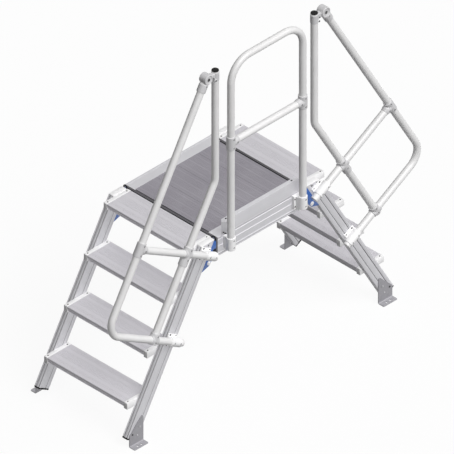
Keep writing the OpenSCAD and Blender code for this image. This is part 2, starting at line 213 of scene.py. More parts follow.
class PlatformSizes(PropertyGroup):
    step: length("Face step", "Depth of the side profile's face behind its ridges", 0.003)
    ledge: length("Ledge", "Drop of the side profile's lower ledge below the deck", 0.099)
    first_ridge: length("Upper ridge", "Drop of the upper ridge below the deck", 0.020)
    second_ridge: length("Lower ridge", "Drop of the lower ridge below the deck", 0.060)
    ridge: length("Ridge", "Height of each ridge", 0.003)
    groove_in: length("Groove inset", "Distance of the edge grooves from top and bottom", 0.006)
    groove_depth: length("Groove depth", "Depth of the side profile's grooves", 0.0035)
    planks: IntProperty(name="Planks", description="Number of deck planks", default=4, min=1)
    deck_pitch: length("Deck rib pitch", "Distance between a plank's ribs", 0.0084)
    deck_depth: length("Deck rib depth", "Depth of the grooves between a plank's ribs", 0.0006)
    crest_w: length("Crest width", "Width of the broad crests of a deck plank", 0.0055)
    lug_bolt_x: length("Lug bolt reach", "Distance of a wedge's bolt from the end plate", 0.053)
    lug_bolt_drop: length("Lug bolt drop", "Distance of a wedge's bolt below the deck", 0.128)
    toe_lip: length("Toe board lip", "Width of the lips along the toe board's top", 0.006)
    plate_t: length("Bracket plate", "Thickness of a toe board's bracket plate", 0.004)
    plate_rise: length("Bracket rise", "Height of a bracket plate above the board", 0.008)
    toe_step: length("Toe board step", "Depth of the toe board's top between its lips", 0.0015)


class FixingSizes(PropertyGroup):
    bolt_r: length("Bolt head", "Radius over the corners of a hexagon head", 0.0095)
    bolt_h: length("Bolt height", "Height of a hexagon head", 0.0055)
    washer_r: length("Washer", "Outer radius of a washer", 0.012)
    washer_t: length("Washer thickness", "Thickness of a washer", 0.0016)
    grub_r: length("Set screw", "Radius of a set screw in a tube fitting", 0.005)
    tread_screw_in: length("Tread screw inset", "Distance of the screws from its edges", 0.017)
    tread_screw_r: length("Tread screw", "Head radius of a tread's screws", 0.0040)
    top_screw_in: length("Top screw inset", "Their distance from the stringer's back", 0.043)
    top_screw_drops: pair("Top screw drops", "Drops of a stringer's two top screws", (0.016, 0.034))
    top_screw_r: length("Top screw", "Head radius of a stringer's top screws", 0.0035)
    foot_screw: pair("Foot screw", "Distance behind the foot's front, and height", (0.020, 0.072))
    foot_screw_r: length("Foot screw head", "Head radius of that screw", 0.0060)
    foot_low_screw: pair("Lower foot screw", "The same of the lower screw", (0.057, 0.052))
    foot_low_screw_r: length("Lower foot screw head", "Head radius of that screw", 0.0055)
    foot_bolt: pair("Foot bolt", "The same of the bolt to the stringer", (0.072, 0.099))
    foot_bolt_scale: FloatProperty(
        name="Foot bolt scale", description="Its size beside the platform's bolts", default=0.65
    )


class FittingSizes(PropertyGroup):
    sleeve: length("Sleeve", "Length of a tee's sleeve", 0.080)
    cross_reach: length("Cross reach", "Reach of a cross's sleeve below its strut", 0.066)
    sleeve_end: length("Sleeve end", "Reach of the lowest tee's sleeve below its strut", 0.021)
    socket: length("Socket", "Reach of a side socket from the sleeve's axis", 0.048)
    flare: length("Flare", "Length over which a side socket narrows to its mouth", 0.018)
    low_rise: pair("Low strut rise", "Rise of the low strut, left and right", (0.0, 0.016))
    low_slide: pair("Low clamp slide", "Slide of the low clamps, left and right", (0.025, 0.020))
    high_slide: pair("High clamp slide", "Slide of the high clamps, left and right", (0.008, 0.037))
    voxel: length("Blend size", "Finest detail of a cast fitting's blended body", 0.0014)
    guard_bend: length("Guard bend", "Radius of the guard's upper bends", 0.130)
    knee_bend: length("Knee bend", "Radius of the knee rail's bend", 0.080)
    knuckle_r: length("Knuckle", "Radius of the knuckle's barrel", 0.029)
    knuckle_w: length("Knuckle width", "Width of the knuckle's barrel", 0.048)
    knuckle_drop: length("Knuckle drop", "Pivot's distance below the knee rail's end", 0.016)
    collar_r: length("Collar radius", "Outer radius of the knuckle's collar", 0.0216)
    collar: length("Knuckle collar", "Length of the knuckle's collar on the knee rail", 0.052)
    clamp_w: length("Clamp base", "Width of a stringer clamp's base along the stringer", 0.070)
    clamp_t: length("Clamp plate", "Thickness of a stringer clamp's base", 0.0095)
    clamp_l: length("Clamp length", "Length of a stringer clamp's sleeve", 0.080)
    post_base_in: length("Post base inwards", "Reach of a post clamp's base inwards", 0.035)
    post_base_out: length("Post base outwards", "Reach of a post clamp's base outwards", 0.012)
    post_base_h: length("Post base drop", "Drop of a post clamp's base below the deck", 0.085)
    post_base_t: length("Post base", "Thickness of a post clamp's base", 0.0205)
    post_rise: length("Post sleeve rise", "Height of a post clamp's sleeve above the deck", 0.004)
    post_drop: length("Post sleeve drop", "Drop of a post clamp's sleeve below the deck", 0.072)


class FinishColours(PropertyGroup):
    mill: colour("Extrusion", "Plain extruded aluminium", (0.64, 0.635, 0.66))
    tread: colour("Tread", "Ribbed tread aluminium", (0.66, 0.645, 0.68))
    deck: colour("Deck", "Deck planks", (0.31, 0.295, 0.33))
    tube: colour("Tube", "Satin rail tube", (0.80, 0.795, 0.795))
    cast: colour("Casting", "Blasted cast aluminium", (0.63, 0.625, 0.635))
    pale: colour("Pale casting", "Clamps, caps and tread brackets", (0.93, 0.925, 0.93))
    zinc: colour("Zinc", "Zinc plated steel", (0.33, 0.325, 0.345))
    steel: colour("Fixings", "Stainless steel fixings", (0.42, 0.42, 0.43))
    blue: colour("Blue coating", "Coated wedge brackets", (0.035, 0.12, 0.40))
    dark: colour("End plate", "Dark coated end plates", (0.115, 0.112, 0.12))
    screw: colour("Screws", "Blackened set screws", (0.05, 0.05, 0.052))
    black: colour("Black plastic", "Shoes and caps", (0.004, 0.004, 0.004))


class StudioSizes(PropertyGroup):
    azimuth: FloatProperty(
        name="Azimuth", description="Camera's side angle", default=radians(-45), subtype="ANGLE"
    )
    elevation: FloatProperty(
        name="Elevation", description="Camera's height angle", default=0.6154797, subtype="ANGLE"
    )
    width: length("View width", "Width of the view", 2.3342)
    aim_right: length("Aim right", "How far right of the middle the camera looks", 0.0671)
    aim_up: length("Aim up", "How far above the floor's middle the camera looks", 0.6067)
    key: FloatProperty(name="Key light", description="Strength of the key light", default=1.0)
    even: FloatProperty(
        name="Even light", description="Strength of the light that casts no shadow", default=2.4
    )
    sun_way: FloatVectorProperty(
        name="Light direction", description="Where both lights come from",
        default=(0.02, -0.62, 0.77), subtype="XYZ",
    )
    softness: FloatProperty(
        name="Softness", description="Angle over which the lights spread", default=radians(40),
        subtype="ANGLE",
    )
    fill: FloatProperty(name="Fill light", description="Strength of the surround", default=0.08)
    glow: FloatProperty(
        name="Floor glow", description="Share of plain white in the floor seen", default=0.85
    )


class CrossoverSettings(PropertyGroup):
    profile: PointerProperty(type=ProfileSizes, name="Profiles")
    plate: PointerProperty(type=PlateSizes, name="Feet and brackets")
    platform: PointerProperty(type=PlatformSizes, name="Platform")
    fixing: PointerProperty(type=FixingSizes, name="Bolts and screws")
    fitting: PointerProperty(type=FittingSizes, name="Tube fittings")
    colours: PointerProperty(type=FinishColours, name="Colours")
    studio: PointerProperty(type=StudioSizes, name="Studio")


def settings():
    return bpy.context.scene.crossover


# ---- Finishes ----


class Wire:
    """A value in a material. Arithmetic on it adds Math nodes."""

    def __init__(self, recipe, socket):
        self.recipe = recipe
        self.socket = socket

    def maths(self, operation, *values):
        return self.recipe.add("ShaderNodeMath", {"operation": operation}, dict(enumerate(values)))

    def __add__(self, other):
        return self.maths("ADD", self, other)

    def __radd__(self, other):
        return self.maths("ADD", other, self)

    def __sub__(self, other):
        return self.maths("SUBTRACT", self, other)

    def __rsub__(self, other):
        return self.maths("SUBTRACT", other, self)

    def __mul__(self, other):
        return self.maths("MULTIPLY", self, other)

    def __rmul__(self, other):
        return self.maths("MULTIPLY", other, self)

    def clamped(self):
        return self.recipe.add("ShaderNodeClamp", {}, {"Value": self, "Min": 0.0, "Max": 1.0})


class Recipe:
    """A node tree, built node by node."""

    def __init__(self, tree):
        self.tree = tree

    def add(self, kind, set_first, inputs, output=0):
        """Adds a node, sets it up, feeds its sockets and returns one of its outputs."""
        node = self.tree.nodes.new(kind)
        for key, value in set_first.items():
            setattr(node, key, value)
        for key, value in inputs.items():
            self.feed(node.inputs[key], value)
        return Wire(self, node.outputs[output])

    def feed(self, socket, value):
        if isinstance(value, Wire):
            self.tree.links.new(value.socket, socket)
        else:
            socket.default_value = value

    def seen(self):
        """1 on rays from the camera, in reflections and through glass, else 0."""
        rays = [self.add("ShaderNodeLightPath", {}, {}, f"Is {kind} Ray")
                for kind in ("Camera", "Glossy", "Transmission")]
        return (rays[0] + rays[1] + rays[2]).clamped()


class Finish(Recipe):
    """A material with one Principled surface."""

    def __init__(self, name, metallic=0.0, specular=0.5):
        self.material = bpy.data.materials.new(name)
        self.material.use_nodes = True
        super().__init__(self.material.node_tree)
        self.surface = self.tree.nodes["Principled BSDF"]
        self.drive("Metallic", metallic)
        self.drive("Specular IOR Level", specular)

    def drive(self, name, value):
        self.feed(self.surface.inputs[name], value)

    def place(self):
        """Object coordinates."""
        return self.add("ShaderNodeTexCoord", {}, {}, "Object")

    def attribute(self, name, output):
        """What a mesh carries: grain as a Vector, the mask of painted groove shade as a Fac."""
        named = {"attribute_type": "GEOMETRY", "attribute_name": name}
        return self.add("ShaderNodeAttribute", named, {}, output)

    def grain(self):
        """Coordinates that follow a profile or tube: across, across, along."""
        return self.attribute("grain", "Vector")

    def stretch(self, vector, across, along):
        scale = (across, across, along)
        return self.add("ShaderNodeMapping", {}, {"Vector": vector, "Scale": scale})

    def noise(self, vector, scale, detail=3.0, rough=0.5):
        inputs = {"Vector": vector, "Scale": scale, "Detail": detail, "Roughness": rough}
        return self.add("ShaderNodeTexNoise", {}, inputs)

    def split(self, vector, axis):
        return self.add("ShaderNodeSeparateXYZ", {}, {"Vector": vector}, axis)

    def ramp(self, value, low, high):
        """Runs from 0 to 1 as value goes from low to high."""
        inputs = {"Value": value, "From Min": low, "From Max": high, "To Min": 0.0, "To Max": 1.0}
        return self.add("ShaderNodeMapRange", {"clamp": True}, inputs)

    def mix(self, factor, first, second):
        """Mixes two colours; index 0, 6 and 7 are the colour mix's own sockets."""
        inputs = {0: factor, 6: first, 7: second}
        return self.add("ShaderNodeMix", {"data_type": "RGBA"}, inputs, 2)

    def bump(self, height, strength, distance):
        inputs = {"Height": height, "Strength": strength, "Distance": distance}
        self.drive("Normal", self.add("ShaderNodeBump", {}, inputs))


def tint(rgb, factor):
    return tuple(min(1.0, c * factor) for c in rgb) + (1.0,)


def extruded(name, rgb, metallic=0.06):
    """Extruded or drawn aluminium: die lines, a cloudy satin skin and painted shade in the grooves.
    """
    finish = Finish(name, metallic, 0.3)
    grain = finish.grain()
    lines = finish.noise(finish.stretch(grain, 900, 5), 1.0, 4.0, 0.65)
    clouds = finish.noise(finish.place(), 9.0, 3.0)
    scuffs = finish.ramp(finish.noise(finish.stretch(grain, 60, 14), 1.0, 5.0, 0.7), 0.62, 0.75)
    shade = finish.mix(clouds, tint(rgb, 0.92), tint(rgb, 1.06))
    rubbed = finish.mix(scuffs * 0.35, shade, tint(rgb, 0.78))
    # Painted shade: groove bottoms are darkened towards a dark tint, standing in for the shade that
    # falls in them.
    groove_shade = finish.attribute("nook", "Fac") * 0.9
    finish.drive("Base Color", finish.mix(groove_shade, rubbed, tint(rgb, 0.16)))
    finish.drive("Roughness", 0.34 + 0.10 * lines + 0.10 * clouds + 0.06 * scuffs)
    finish.bump(lines + scuffs * 0.4, 0.12, 0.0003)
    return finish.material


def walked(name, rgb, wear_rgb, metallic):
    """Ribbed walking surface: crests rubbed bright, fine grit all over."""
    finish = Finish(name, metallic, 0.3)
    place = finish.place()
    grain = finish.grain()
    lines = finish.noise(finish.stretch(grain, 700, 5), 1.0, 4.0, 0.6)
    clouds = finish.noise(place, 5.0, 4.0)
    grit = finish.noise(place, 420.0, 2.0)
    crest = finish.ramp(finish.split(grain, "Y"), -0.0010, -0.0002)
    worn = (crest * finish.ramp(clouds, 0.38, 0.66)).clamped()
    base = finish.mix(finish.ramp(grit, 0.35, 0.75), tint(rgb, 0.94), tint(rgb, 1.05))
    finish.drive("Base Color", finish.mix(worn * 0.09, base, tint(wear_rgb, 1.0)))
    finish.drive("Roughness", 0.56 - 0.16 * worn + 0.10 * clouds)
    finish.bump(lines * 0.5 + grit * 0.5, 0.10, 0.0003)
    return finish.material


def cast_metal(name, rgb, metallic=0.05):
    """Cast and blasted aluminium with a fine sandy skin."""
    finish = Finish(name, metallic, 0.3)
    place = finish.place()
    sand = finish.noise(place, 900.0, 3.0, 0.6)
    lumps = finish.noise(place, 60.0, 3.0)
    base = finish.mix(lumps, tint(rgb, 0.92), tint(rgb, 1.05))
    finish.drive("Base Color", finish.mix(finish.ramp(sand, 0.62, 0.8) * 0.3, base, tint(rgb, 0.8)))
    finish.drive("Roughness", 0.44 + 0.16 * sand)
    finish.bump(sand * 0.7 + lumps * 0.6, 0.22, 0.0004)
    return finish.material


def zinc_plate(name, rgb):
    """Zinc plated steel: mottled grey, paler with dust down at the floor."""
    finish = Finish(name, 0.3, 0.3)
    place = finish.place()
    mottle = finish.noise(place, 34.0, 5.0, 0.65)
    fine = finish.noise(place, 500.0, 2.0)
    dust = finish.ramp(finish.split(place, "Z"), 0.012, 0.003)
    bloom = finish.mix(mottle, tint(rgb, 0.82), tint(rgb, 1.18))
    aged = finish.mix(finish.ramp(mottle, 0.5, 0.7) * 0.4, bloom, tint(rgb, 0.94))
    finish.drive("Base Color", finish.mix(dust * 0.8, aged, tint(rgb, 1.4)))
    finish.drive("Roughness", 0.42 + 0.2 * mottle)
    finish.bump(fine * 0.5 + mottle * 0.5, 0.15, 0.0003)
    return finish.material


def machined(name, rgb, metallic):
    """Turned steel of bolts and screws."""
    finish = Finish(name, metallic)
    place = finish.place()
    rings = finish.noise(place, 800.0, 2.0)
    finish.drive("Base Color", finish.mix(rings, tint(rgb, 0.85), tint(rgb, 1.1)))
    finish.drive("Roughness", 0.24 + 0.16 * rings)
    finish.bump(rings, 0.1, 0.0002)
    return finish.material


def coated(name, rgb):
    """Stove enamel with orange peel, rubbed lighter here and there."""
    finish = Finish(name)
    place = finish.place()
    peel = finish.noise(place, 380.0, 2.0)
    patches = finish.noise(place, 40.0, 4.0, 0.6)
    worn = finish.ramp(patches, 0.62, 0.74)
    base = finish.mix(patches, tint(rgb, 0.85), tint(rgb, 1.15))
    pale = tuple(c + 0.12 for c in rgb) + (1.0,)
    finish.drive("Base Color", finish.mix(worn * 0.35, base, pale))
    finish.drive("Roughness", 0.30 + 0.18 * patches)
    finish.bump(peel, 0.18, 0.0004)
    finish.drive("Coat Weight", 0.25)
    return finish.material


def moulded(name, rgb):
    """Black moulded plastic with a fine spark texture and patches of dust."""
    finish = Finish(name, specular=0.15)
    place = finish.place()
    spark = finish.noise(place, 1100.0, 2.0)
    dust = finish.noise(place, 30.0, 4.0, 0.6)
    grey = tuple(c + 0.006 for c in rgb) + (1.0,)
    finish.drive("Base Color", finish.mix(finish.ramp(dust, 0.45, 0.8), tint(rgb, 1.0), grey))
    finish.drive("Roughness", 0.42 + 0.2 * dust)
    finish.bump(spark, 0.25, 0.0003)
    return finish.material


def make_finishes():
    """All finishes, by the name that the pieces use."""
    c = settings().colours
    return {
        "mill": extruded("Extruded aluminium", c.mill),
        "tread": walked("Ribbed tread aluminium", c.tread, c.mill, 0.06),
        "deck": walked("Ribbed deck aluminium", c.deck, c.tread, 0.06),
        "tube": extruded("Satin rail tube", c.tube, 0.05),
        "cast": cast_metal("Cast aluminium", c.cast),
        "pale": cast_metal("Pale cast aluminium", c.pale, 0.0),
        "zinc": zinc_plate("Zinc plated steel", c.zinc),
        "steel": machined("Stainless fixings", c.steel, 0.85),
        "screw": machined("Blackened screws", c.screw, 0.3),
        "blue": coated("Blue enamel", c.blue),
        "dark": moulded("Dark end plate", c.dark),
        "black": moulded("Black plastic", c.black),
    }


def finish_named(name):
    if not FINISHES:
        FINISHES.update(make_finishes())
    return FINISHES[name]


FINISHES = {}


# ---- Modelling ----


class Shape:
    """A mesh in the making. Every part of it carries "grain": across, across, along."""

    def __init__(self):
        self.bm = bmesh.new()
        layers = self.bm.verts.layers
        self.grain = layers.float_vector.new("grain")
        self.settled = layers.int.new("settled")

    def new_parts(self):
        """The vertices, edges and faces drawn since the last settle."""
        verts = [v for v in self.bm.verts if not v[self.settled]]
        fresh = set(verts)
        edges = [e for e in self.bm.edges if e.verts[0] in fresh]
        faces = [f for f in self.bm.faces if f.verts[0] in fresh]
        return verts, edges, faces

    def settle(self, matrix, write_grain=True):
        """Writes the grain of what was just drawn, then puts it in place."""
        verts = self.new_parts()[0]
        for vert in verts:
            vert[self.settled] = 1
            if write_grain:
                vert[self.grain] = vert.co
        bmesh.ops.transform(self.bm, matrix=matrix, verts=verts)

    def put(self, matrix):
        """Moves or mirrors everything drawn so far."""
        bmesh.ops.transform(self.bm, matrix=matrix, verts=self.bm.verts[:])
        return self

    def loop(self, points, z):
        verts = [self.bm.verts.new((x, y, z)) for x, y in points]
        return [self.bm.edges.new(ends) for ends in zip(verts, verts[1:] + verts[:1])]

    def draw(self, points, low, high, holes=(), cut=None):
        """An outline in X and Y, with holes, extruded along Z; cut is a plane (point, normal)."""
        edges = self.loop(points, low)
        for hole in holes:
            edges += self.loop(hole, low)
        if holes:
            made = bmesh.ops.triangle_fill(self.bm, edges=edges, use_beauty=True)["geom"]
        else:
            made = bmesh.ops.contextual_create(self.bm, geom=edges)["faces"]
        faces = [g for g in made if isinstance(g, bmesh.types.BMFace)]
        self.raise_faces(faces, (0, 0, high - low), keep=True)
        if cut:
            self.slice(*cut)

    def prism(self, points, low, high, matrix=Matrix(), bevel=0.0, along=None, **how):
        """A drawn outline with rounded edges, put in place."""
        self.draw(points, low, high, **how)
        if bevel:
            self.soften(bevel, along=along)
        self.settle(matrix)

    def raise_faces(self, faces, by, keep=False):
        made = bmesh.ops.extrude_face_region(self.bm, geom=faces, use_keep_orig=keep)["geom"]
        top = [g for g in made if isinstance(g, bmesh.types.BMVert)]
        bmesh.ops.translate(self.bm, verts=top, vec=by)
        return [g for g in made if isinstance(g, bmesh.types.BMFace)]

    def soften(self, offset, segments=2, sharper_than=40, along=None, above=-9):
        """Rounds the new sharp edges, or only those along an axis and above a height in Y."""
        bmesh.ops.recalc_face_normals(self.bm, faces=self.new_parts()[2])
        limit = radians(sharper_than)
        edges = [
            e for e in self.new_parts()[1]
            if len(e.link_faces) == 2 and e.calc_face_angle(0) > limit
        ]
        if along:
            axis = Vector(along)
            edges = [e for e in edges if runs_along(e, axis) and e.verts[0].co.y > above]
        bmesh.ops.bevel(
            self.bm, geom=edges, offset=offset, offset_type="OFFSET", segments=segments,
            profile=0.5, affect="EDGES", material=-1, clamp_overlap=True,
        )

    def slice(self, point, normal):
        """Cuts what was just drawn at a plane, drops the side the normal points to, closes it."""
        verts, edges, faces = self.new_parts()
        made = bmesh.ops.bisect_plane(
            self.bm, geom=verts + edges + faces, dist=1e-6, plane_co=point,
            plane_no=normal, clear_outer=True,
        )["geom_cut"]
        rim = [g for g in made if isinstance(g, bmesh.types.BMEdge)]
        bmesh.ops.contextual_create(self.bm, geom=rim)

    def pocket(self, direction, margin, depth):
        """Sinks the largest new face that looks in a direction, inside a margin."""
        direction = Vector(direction)
        faces = self.new_parts()[2]
        bmesh.ops.recalc_face_normals(self.bm, faces=faces)
        face = max(faces, key=lambda f: f.calc_area() * (f.normal.dot(direction) > 0.99))
        bmesh.ops.inset_region(self.bm, faces=[face], thickness=margin, use_even_offset=True)
        self.raise_faces([face], -depth * direction)

    def block(self, low, high, bevel, matrix=Matrix(), pocket=None):
        """A box between two corners with rounded edges and a (direction, margin, depth) pocket."""
        low, high = Vector(low), Vector(high)
        middle = Matrix.Translation((low + high) / 2) @ Matrix.Diagonal((*(high - low), 1))
        bmesh.ops.create_cube(self.bm, size=1.0, matrix=middle)
        if pocket:
            self.pocket(*pocket)
        self.soften(bevel)
        self.settle(matrix)

    def disc(self, radius, low, high, matrix=Matrix(), bevel=0.0, sides=32, top=None):
        """A round boss along Z, tapering to a top radius where one is given."""
        bmesh.ops.create_cone(
            self.bm, cap_ends=True, segments=sides, radius1=radius,
            radius2=radius if top is None else top, depth=high - low,
            matrix=Matrix.Translation((0, 0, (low + high) / 2)),
        )
        if bevel:
            self.soften(bevel, 2, 50)
        self.settle(matrix)

    def turned(self, outline, matrix, steps):
        """A closed outline of (radius, height) points spun about Z."""
        edges = self.loop(outline, 0)
        verts = self.new_parts()[0]
        bmesh.ops.rotate(self.bm, verts=verts, matrix=Matrix.Rotation(pi / 2, 3, "X"))
        bmesh.ops.spin(
            self.bm, geom=verts + edges, axis=(0, 0, 1), angle=2 * pi, steps=steps, use_merge=True
        )
        self.settle(matrix)

    def tube(self, start, moves, open_start=0.0):
        """A tube through straights and bends from start, a frame whose Z points along it.

        A move is ("go", length) or ("bend", radius, angle) towards the frame's own X."""
        bmesh.ops.create_circle(self.bm, cap_ends=True, segments=40, radius=TUBE_R)
        face = self.new_parts()[2][0]
        for vert in face.verts:
            vert[self.grain] = vert.co
        spot, gone = Matrix(), 0.0
        first = face
        for step, part in steps_of(moves):
            made = bmesh.ops.extrude_face_region(self.bm, geom=[face], use_keep_orig=not gone)
            face = next(g for g in made["geom"] if isinstance(g, bmesh.types.BMFace))
            local = {v: spot.inverted() @ v.co for v in face.verts}
            bmesh.ops.transform(
                self.bm, matrix=spot @ step @ spot.inverted(), verts=face.verts[:]
            )
            spot, gone = spot @ step, gone + part
            for vert in face.verts:
                vert[self.grain] = (local[vert].x, local[vert].y, gone)
        if open_start:
            wall = settings().profile.tube_wall
            bmesh.ops.inset_region(self.bm, faces=[first], thickness=wall, use_even_offset=True)
            self.raise_faces([first], (0, 0, open_start))
        self.settle(start, write_grain=False)

    def sleeve(self, low, high, matrix, radius=FIT_R, edge=0.0015):
        """A round sleeve of a cast fitting along Z."""
        self.disc(radius, low, high, matrix, bevel=edge, sides=48)

    def bolt(self, matrix, scale):
        """Hexagon head on a washer, seated on the matrix's XY plane."""
        s = settings().fixing
        rim, edge = s.washer_t * scale, 0.0007
        self.disc(s.washer_r * scale, -rim / 2, rim, matrix, bevel=rim / 4, sides=24)
        self.disc(s.bolt_r * scale, rim, rim + s.bolt_h * scale, matrix, bevel=edge, sides=6)

    def screw(self, matrix, r):
        """Domed screw head of radius r with a hexagon socket."""
        dome = [(0.4 * r, 0.15 * r), (0.4 * r, 0.6 * r), (0.62 * r, 0.56 * r),
                (0.88 * r, 0.34 * r), (r, 0.05 * r), (r, -0.15 * r), (0.2 * r, -0.15 * r)]
        self.turned(dome, matrix, 18)
        self.disc(0.42 * r, -0.1 * r, 0.18 * r, matrix, sides=6)

    def grub(self, matrix):
        """Set screw sunk in its rim."""
        r, deep = settings().fixing.grub_r, 0.004
        rim = [(0.5 * r, -deep), (0.5 * r, 0), (0.9 * r, 0), (r, -deep / 10), (r, -deep)]
        self.turned(rim, matrix, 20)
        self.disc(0.55 * r, -deep, -deep / 2, matrix, sides=6)

    def double(self, *mirrors):
        """Repeats everything drawn so far in a mirror, then all of that in the next one."""
        for mirror in mirrors:
            everything = self.bm.verts[:] + self.bm.edges[:] + self.bm.faces[:]
            made = bmesh.ops.duplicate(self.bm, geom=everything)["geom"]
            verts = [g for g in made if isinstance(g, bmesh.types.BMVert)]
            bmesh.ops.transform(self.bm, matrix=mirror, verts=verts)
        return self

    def at_four_corners(self):
        """On both flights and both sides of the width."""
        return self.put(place(1, 1)).double(MIRROR_X, MIRROR_Y)

    def at_near_corners(self):
        """On the near side, at both ends."""
        return self.put(place(1, -1)).double(MIRROR_X)

    def mark_painted_shade(self, width=0.0085, fold=0.3):
        """Marks the bottoms of grooves whose sides are narrow, where the material paints shade."""
        nook = self.bm.verts.layers.float.new("nook")
        for edge in self.bm.edges:
            if edge.is_manifold and edge.calc_face_angle_signed(0) < -fold:
                narrow = width * edge.calc_length()
                if all(face.calc_area() < narrow for face in edge.link_faces):
                    for vert in edge.verts:
                        vert[nook] = 1.0

    def mesh(self, name, finish):
        bmesh.ops.recalc_face_normals(self.bm, faces=self.bm.faces[:])
        # Painted shade: plain extrusions get the mask that darkens their groove bottoms.
        if finish == "mill":
            self.mark_painted_shade()
        self.bm.verts.layers.int.remove(self.settled)
        mesh = bpy.data.meshes.new(name)
        self.bm.to_mesh(mesh)
        self.bm.free()
        mesh.materials.append(finish_named(finish))
        return mesh

    def piece(self, name, finish, *nodes, slot=None, sharp=32):
        """Makes the finished object, riding on the platform's one body."""
        mesh = self.mesh(name, finish)
        mesh.shade_smooth()
        mesh.set_sharp_from_angle(angle=radians(sharp))
        stand(name, mesh, nodes)

    def casting(self, name, *nodes, finish="cast"):
        """Blends overlapping closed bodies into castings with soft inner corners."""
        rough = bpy.data.objects.new("blend", self.mesh("blend", finish))
        bpy.context.scene.collection.objects.link(rough)
        remesh = rough.modifiers.new("Blend", "REMESH")
        remesh.mode = "VOXEL"
        remesh.voxel_size = settings().fitting.voxel * 1
        smooth = rough.modifiers.new("Relax", "SMOOTH")
        smooth.factor = 0.5
        smooth.iterations = 4
        seen = rough.evaluated_get(bpy.context.evaluated_depsgraph_get())
        mesh = bpy.data.meshes.new_from_object(seen)
        mesh.name = name
        source = rough.data
        bpy.data.objects.remove(rough)
        bpy.data.meshes.remove(source)
        mesh.shade_smooth()
        stand(name, mesh, nodes)


def runs_along(edge, axis):
    way = edge.verts[1].co - edge.verts[0].co
    return abs(way.dot(axis)) > 0.999 * way.length


def stand(name, mesh, nodes):
    piece = bpy.data.objects.new(name, mesh)
    bpy.context.scene.collection.objects.link(piece)
    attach(piece, "root")
    if nodes:
        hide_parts(*nodes)


def steps_of(moves):
    """The small steps of a tube's straights and bends, each a matrix and its length."""
    for kind, *how in moves:
        if kind == "go":
            yield move(z=how[0]), how[0]
        else:
            bend_r, angle = how
            count = max(4, round(angle / radians(5)))
            part = angle / count
            for _ in range(count):
                yield move(bend_r) @ Matrix.Rotation(part, 4, "Y") @ move(-bend_r), part * bend_r


def arc(x, y, radius, start, end, steps=6):
    """Points of an arc, angles in degrees."""
    angles = [radians(start + (end - start) * n / steps) for n in range(steps + 1)]
    return [(x + radius * cos(a), y + radius * sin(a)) for a in angles]


def circle(x, y, radius, steps=28):
    return arc(x, y, radius, 0, 360, steps)[:-1]


def panel(low, high, low_r=0.0, high_r=0.0):
    """A rectangle whose two lower and two upper corners are rounded."""
    (left, under), (right, over) = low, high
    return rounded([
        (left, under, low_r), (right, under, low_r), (right, over, high_r), (left, over, high_r)
    ])


def rounded(corners, steps=4):
    """An outline from (x, y, radius) corners, each rounded by its own radius."""
    points = []
    count = len(corners)
    for n, (x, y, r) in enumerate(corners):
        here = Vector((x, y))
        if not r:
            points.append((x, y))
            continue
        back = (Vector(corners[n - 1][:2]) - here).normalized()
        ahead = (Vector(corners[(n + 1) % count][:2]) - here).normalized()
        half = back.angle(ahead) / 2
        middle = here + (back + ahead).normalized() * (r / sin(half))
        first = here + back * (r / tan(half)) - middle
        last = here + ahead * (r / tan(half)) - middle
        for k in range(steps + 1):
            spoke = first.lerp(last, k / steps).normalized() * r
            points.append(tuple(middle + spoke))
    return points


def ribs(start, end, top, pitch, depth, flats=()):
    """The top line of a ribbed plank from start to end, plain where a flat (low, high) lies."""
    points = []
    count = int((end - start) / pitch)
    edge = (end - start - count * pitch) / 2
    before, width, slant = 0.28 * pitch, 0.44 * pitch, 0.0002
    for n in range(count):
        low = start + edge + n * pitch + before
        high = low + width
        if not any(low < b and high > a for a, b in flats):
            points += [(low - slant, top), (low, top - depth)]
            points += [(high, top - depth), (high + slant, top)]
    return points


# ---- Pieces of the flights ----


def both_ways():
    """Each stand of a piece: its name ending and where it goes."""
    for side, x in SIDES:
        for edge, y in EDGES:
            yield f"{side}_{edge}", place(x, y)


class MakeStringers(Operator):
    """Extruded stringers with grooved edges and a sunk web, cut level at the top"""

    bl_idname = "crossover.stringers"
    bl_label = "Stringers"

    def execute(self, context):
        s = settings().profile
        low, high = BACK_OUT, FRONT_OUT
        web = low + s.web_start
        sunk, line = s.band_depth, s.web_line
        outer = [(web, 0), (web + 0.5 * line, 3 * sunk), (web + line, sunk)]
        outer += [(2 * web + s.web_w - x, y) for x, y in outer[::-1]]
        edge = [(s.groove_in, 0), (s.groove_in + s.groove_w / 2, s.groove_depth),
                (s.groove_in + s.groove_w, 0)]
        edge += [(STRINGER_W - y, deep) for y, deep in edge[::-1]]
        points = [(low, INNER_Y)] + [(x, INNER_Y + y) for x, y in outer]
        points += [(high, INNER_Y)] + [(high - deep, INNER_Y + y) for y, deep in edge]
        points += [(high, OUTER_Y)] + [(x, OUTER_Y - y) for x, y in outer[::-1]]
        points += [(low, OUTER_Y)] + [(low + deep, OUTER_Y - y) for y, deep in edge]
        level = SLOPE.inverted() @ Vector((0, 0, DECK_Z - CAP_T))
        for ending, where in both_ways():
            shape = Shape()
            shape.prism(
                points, FOOT_RUN + SHOE_T, level.z + BACK_OUT, SLOPE,
                bevel=s.edge_r, cut=(level, (COS, 0, SIN)), along=(0, 0, 1),
            )
            shape.put(where).piece(f"stringer_profile_{ending}", "mill", f"stringer_{ending}")
        return {"FINISHED"}


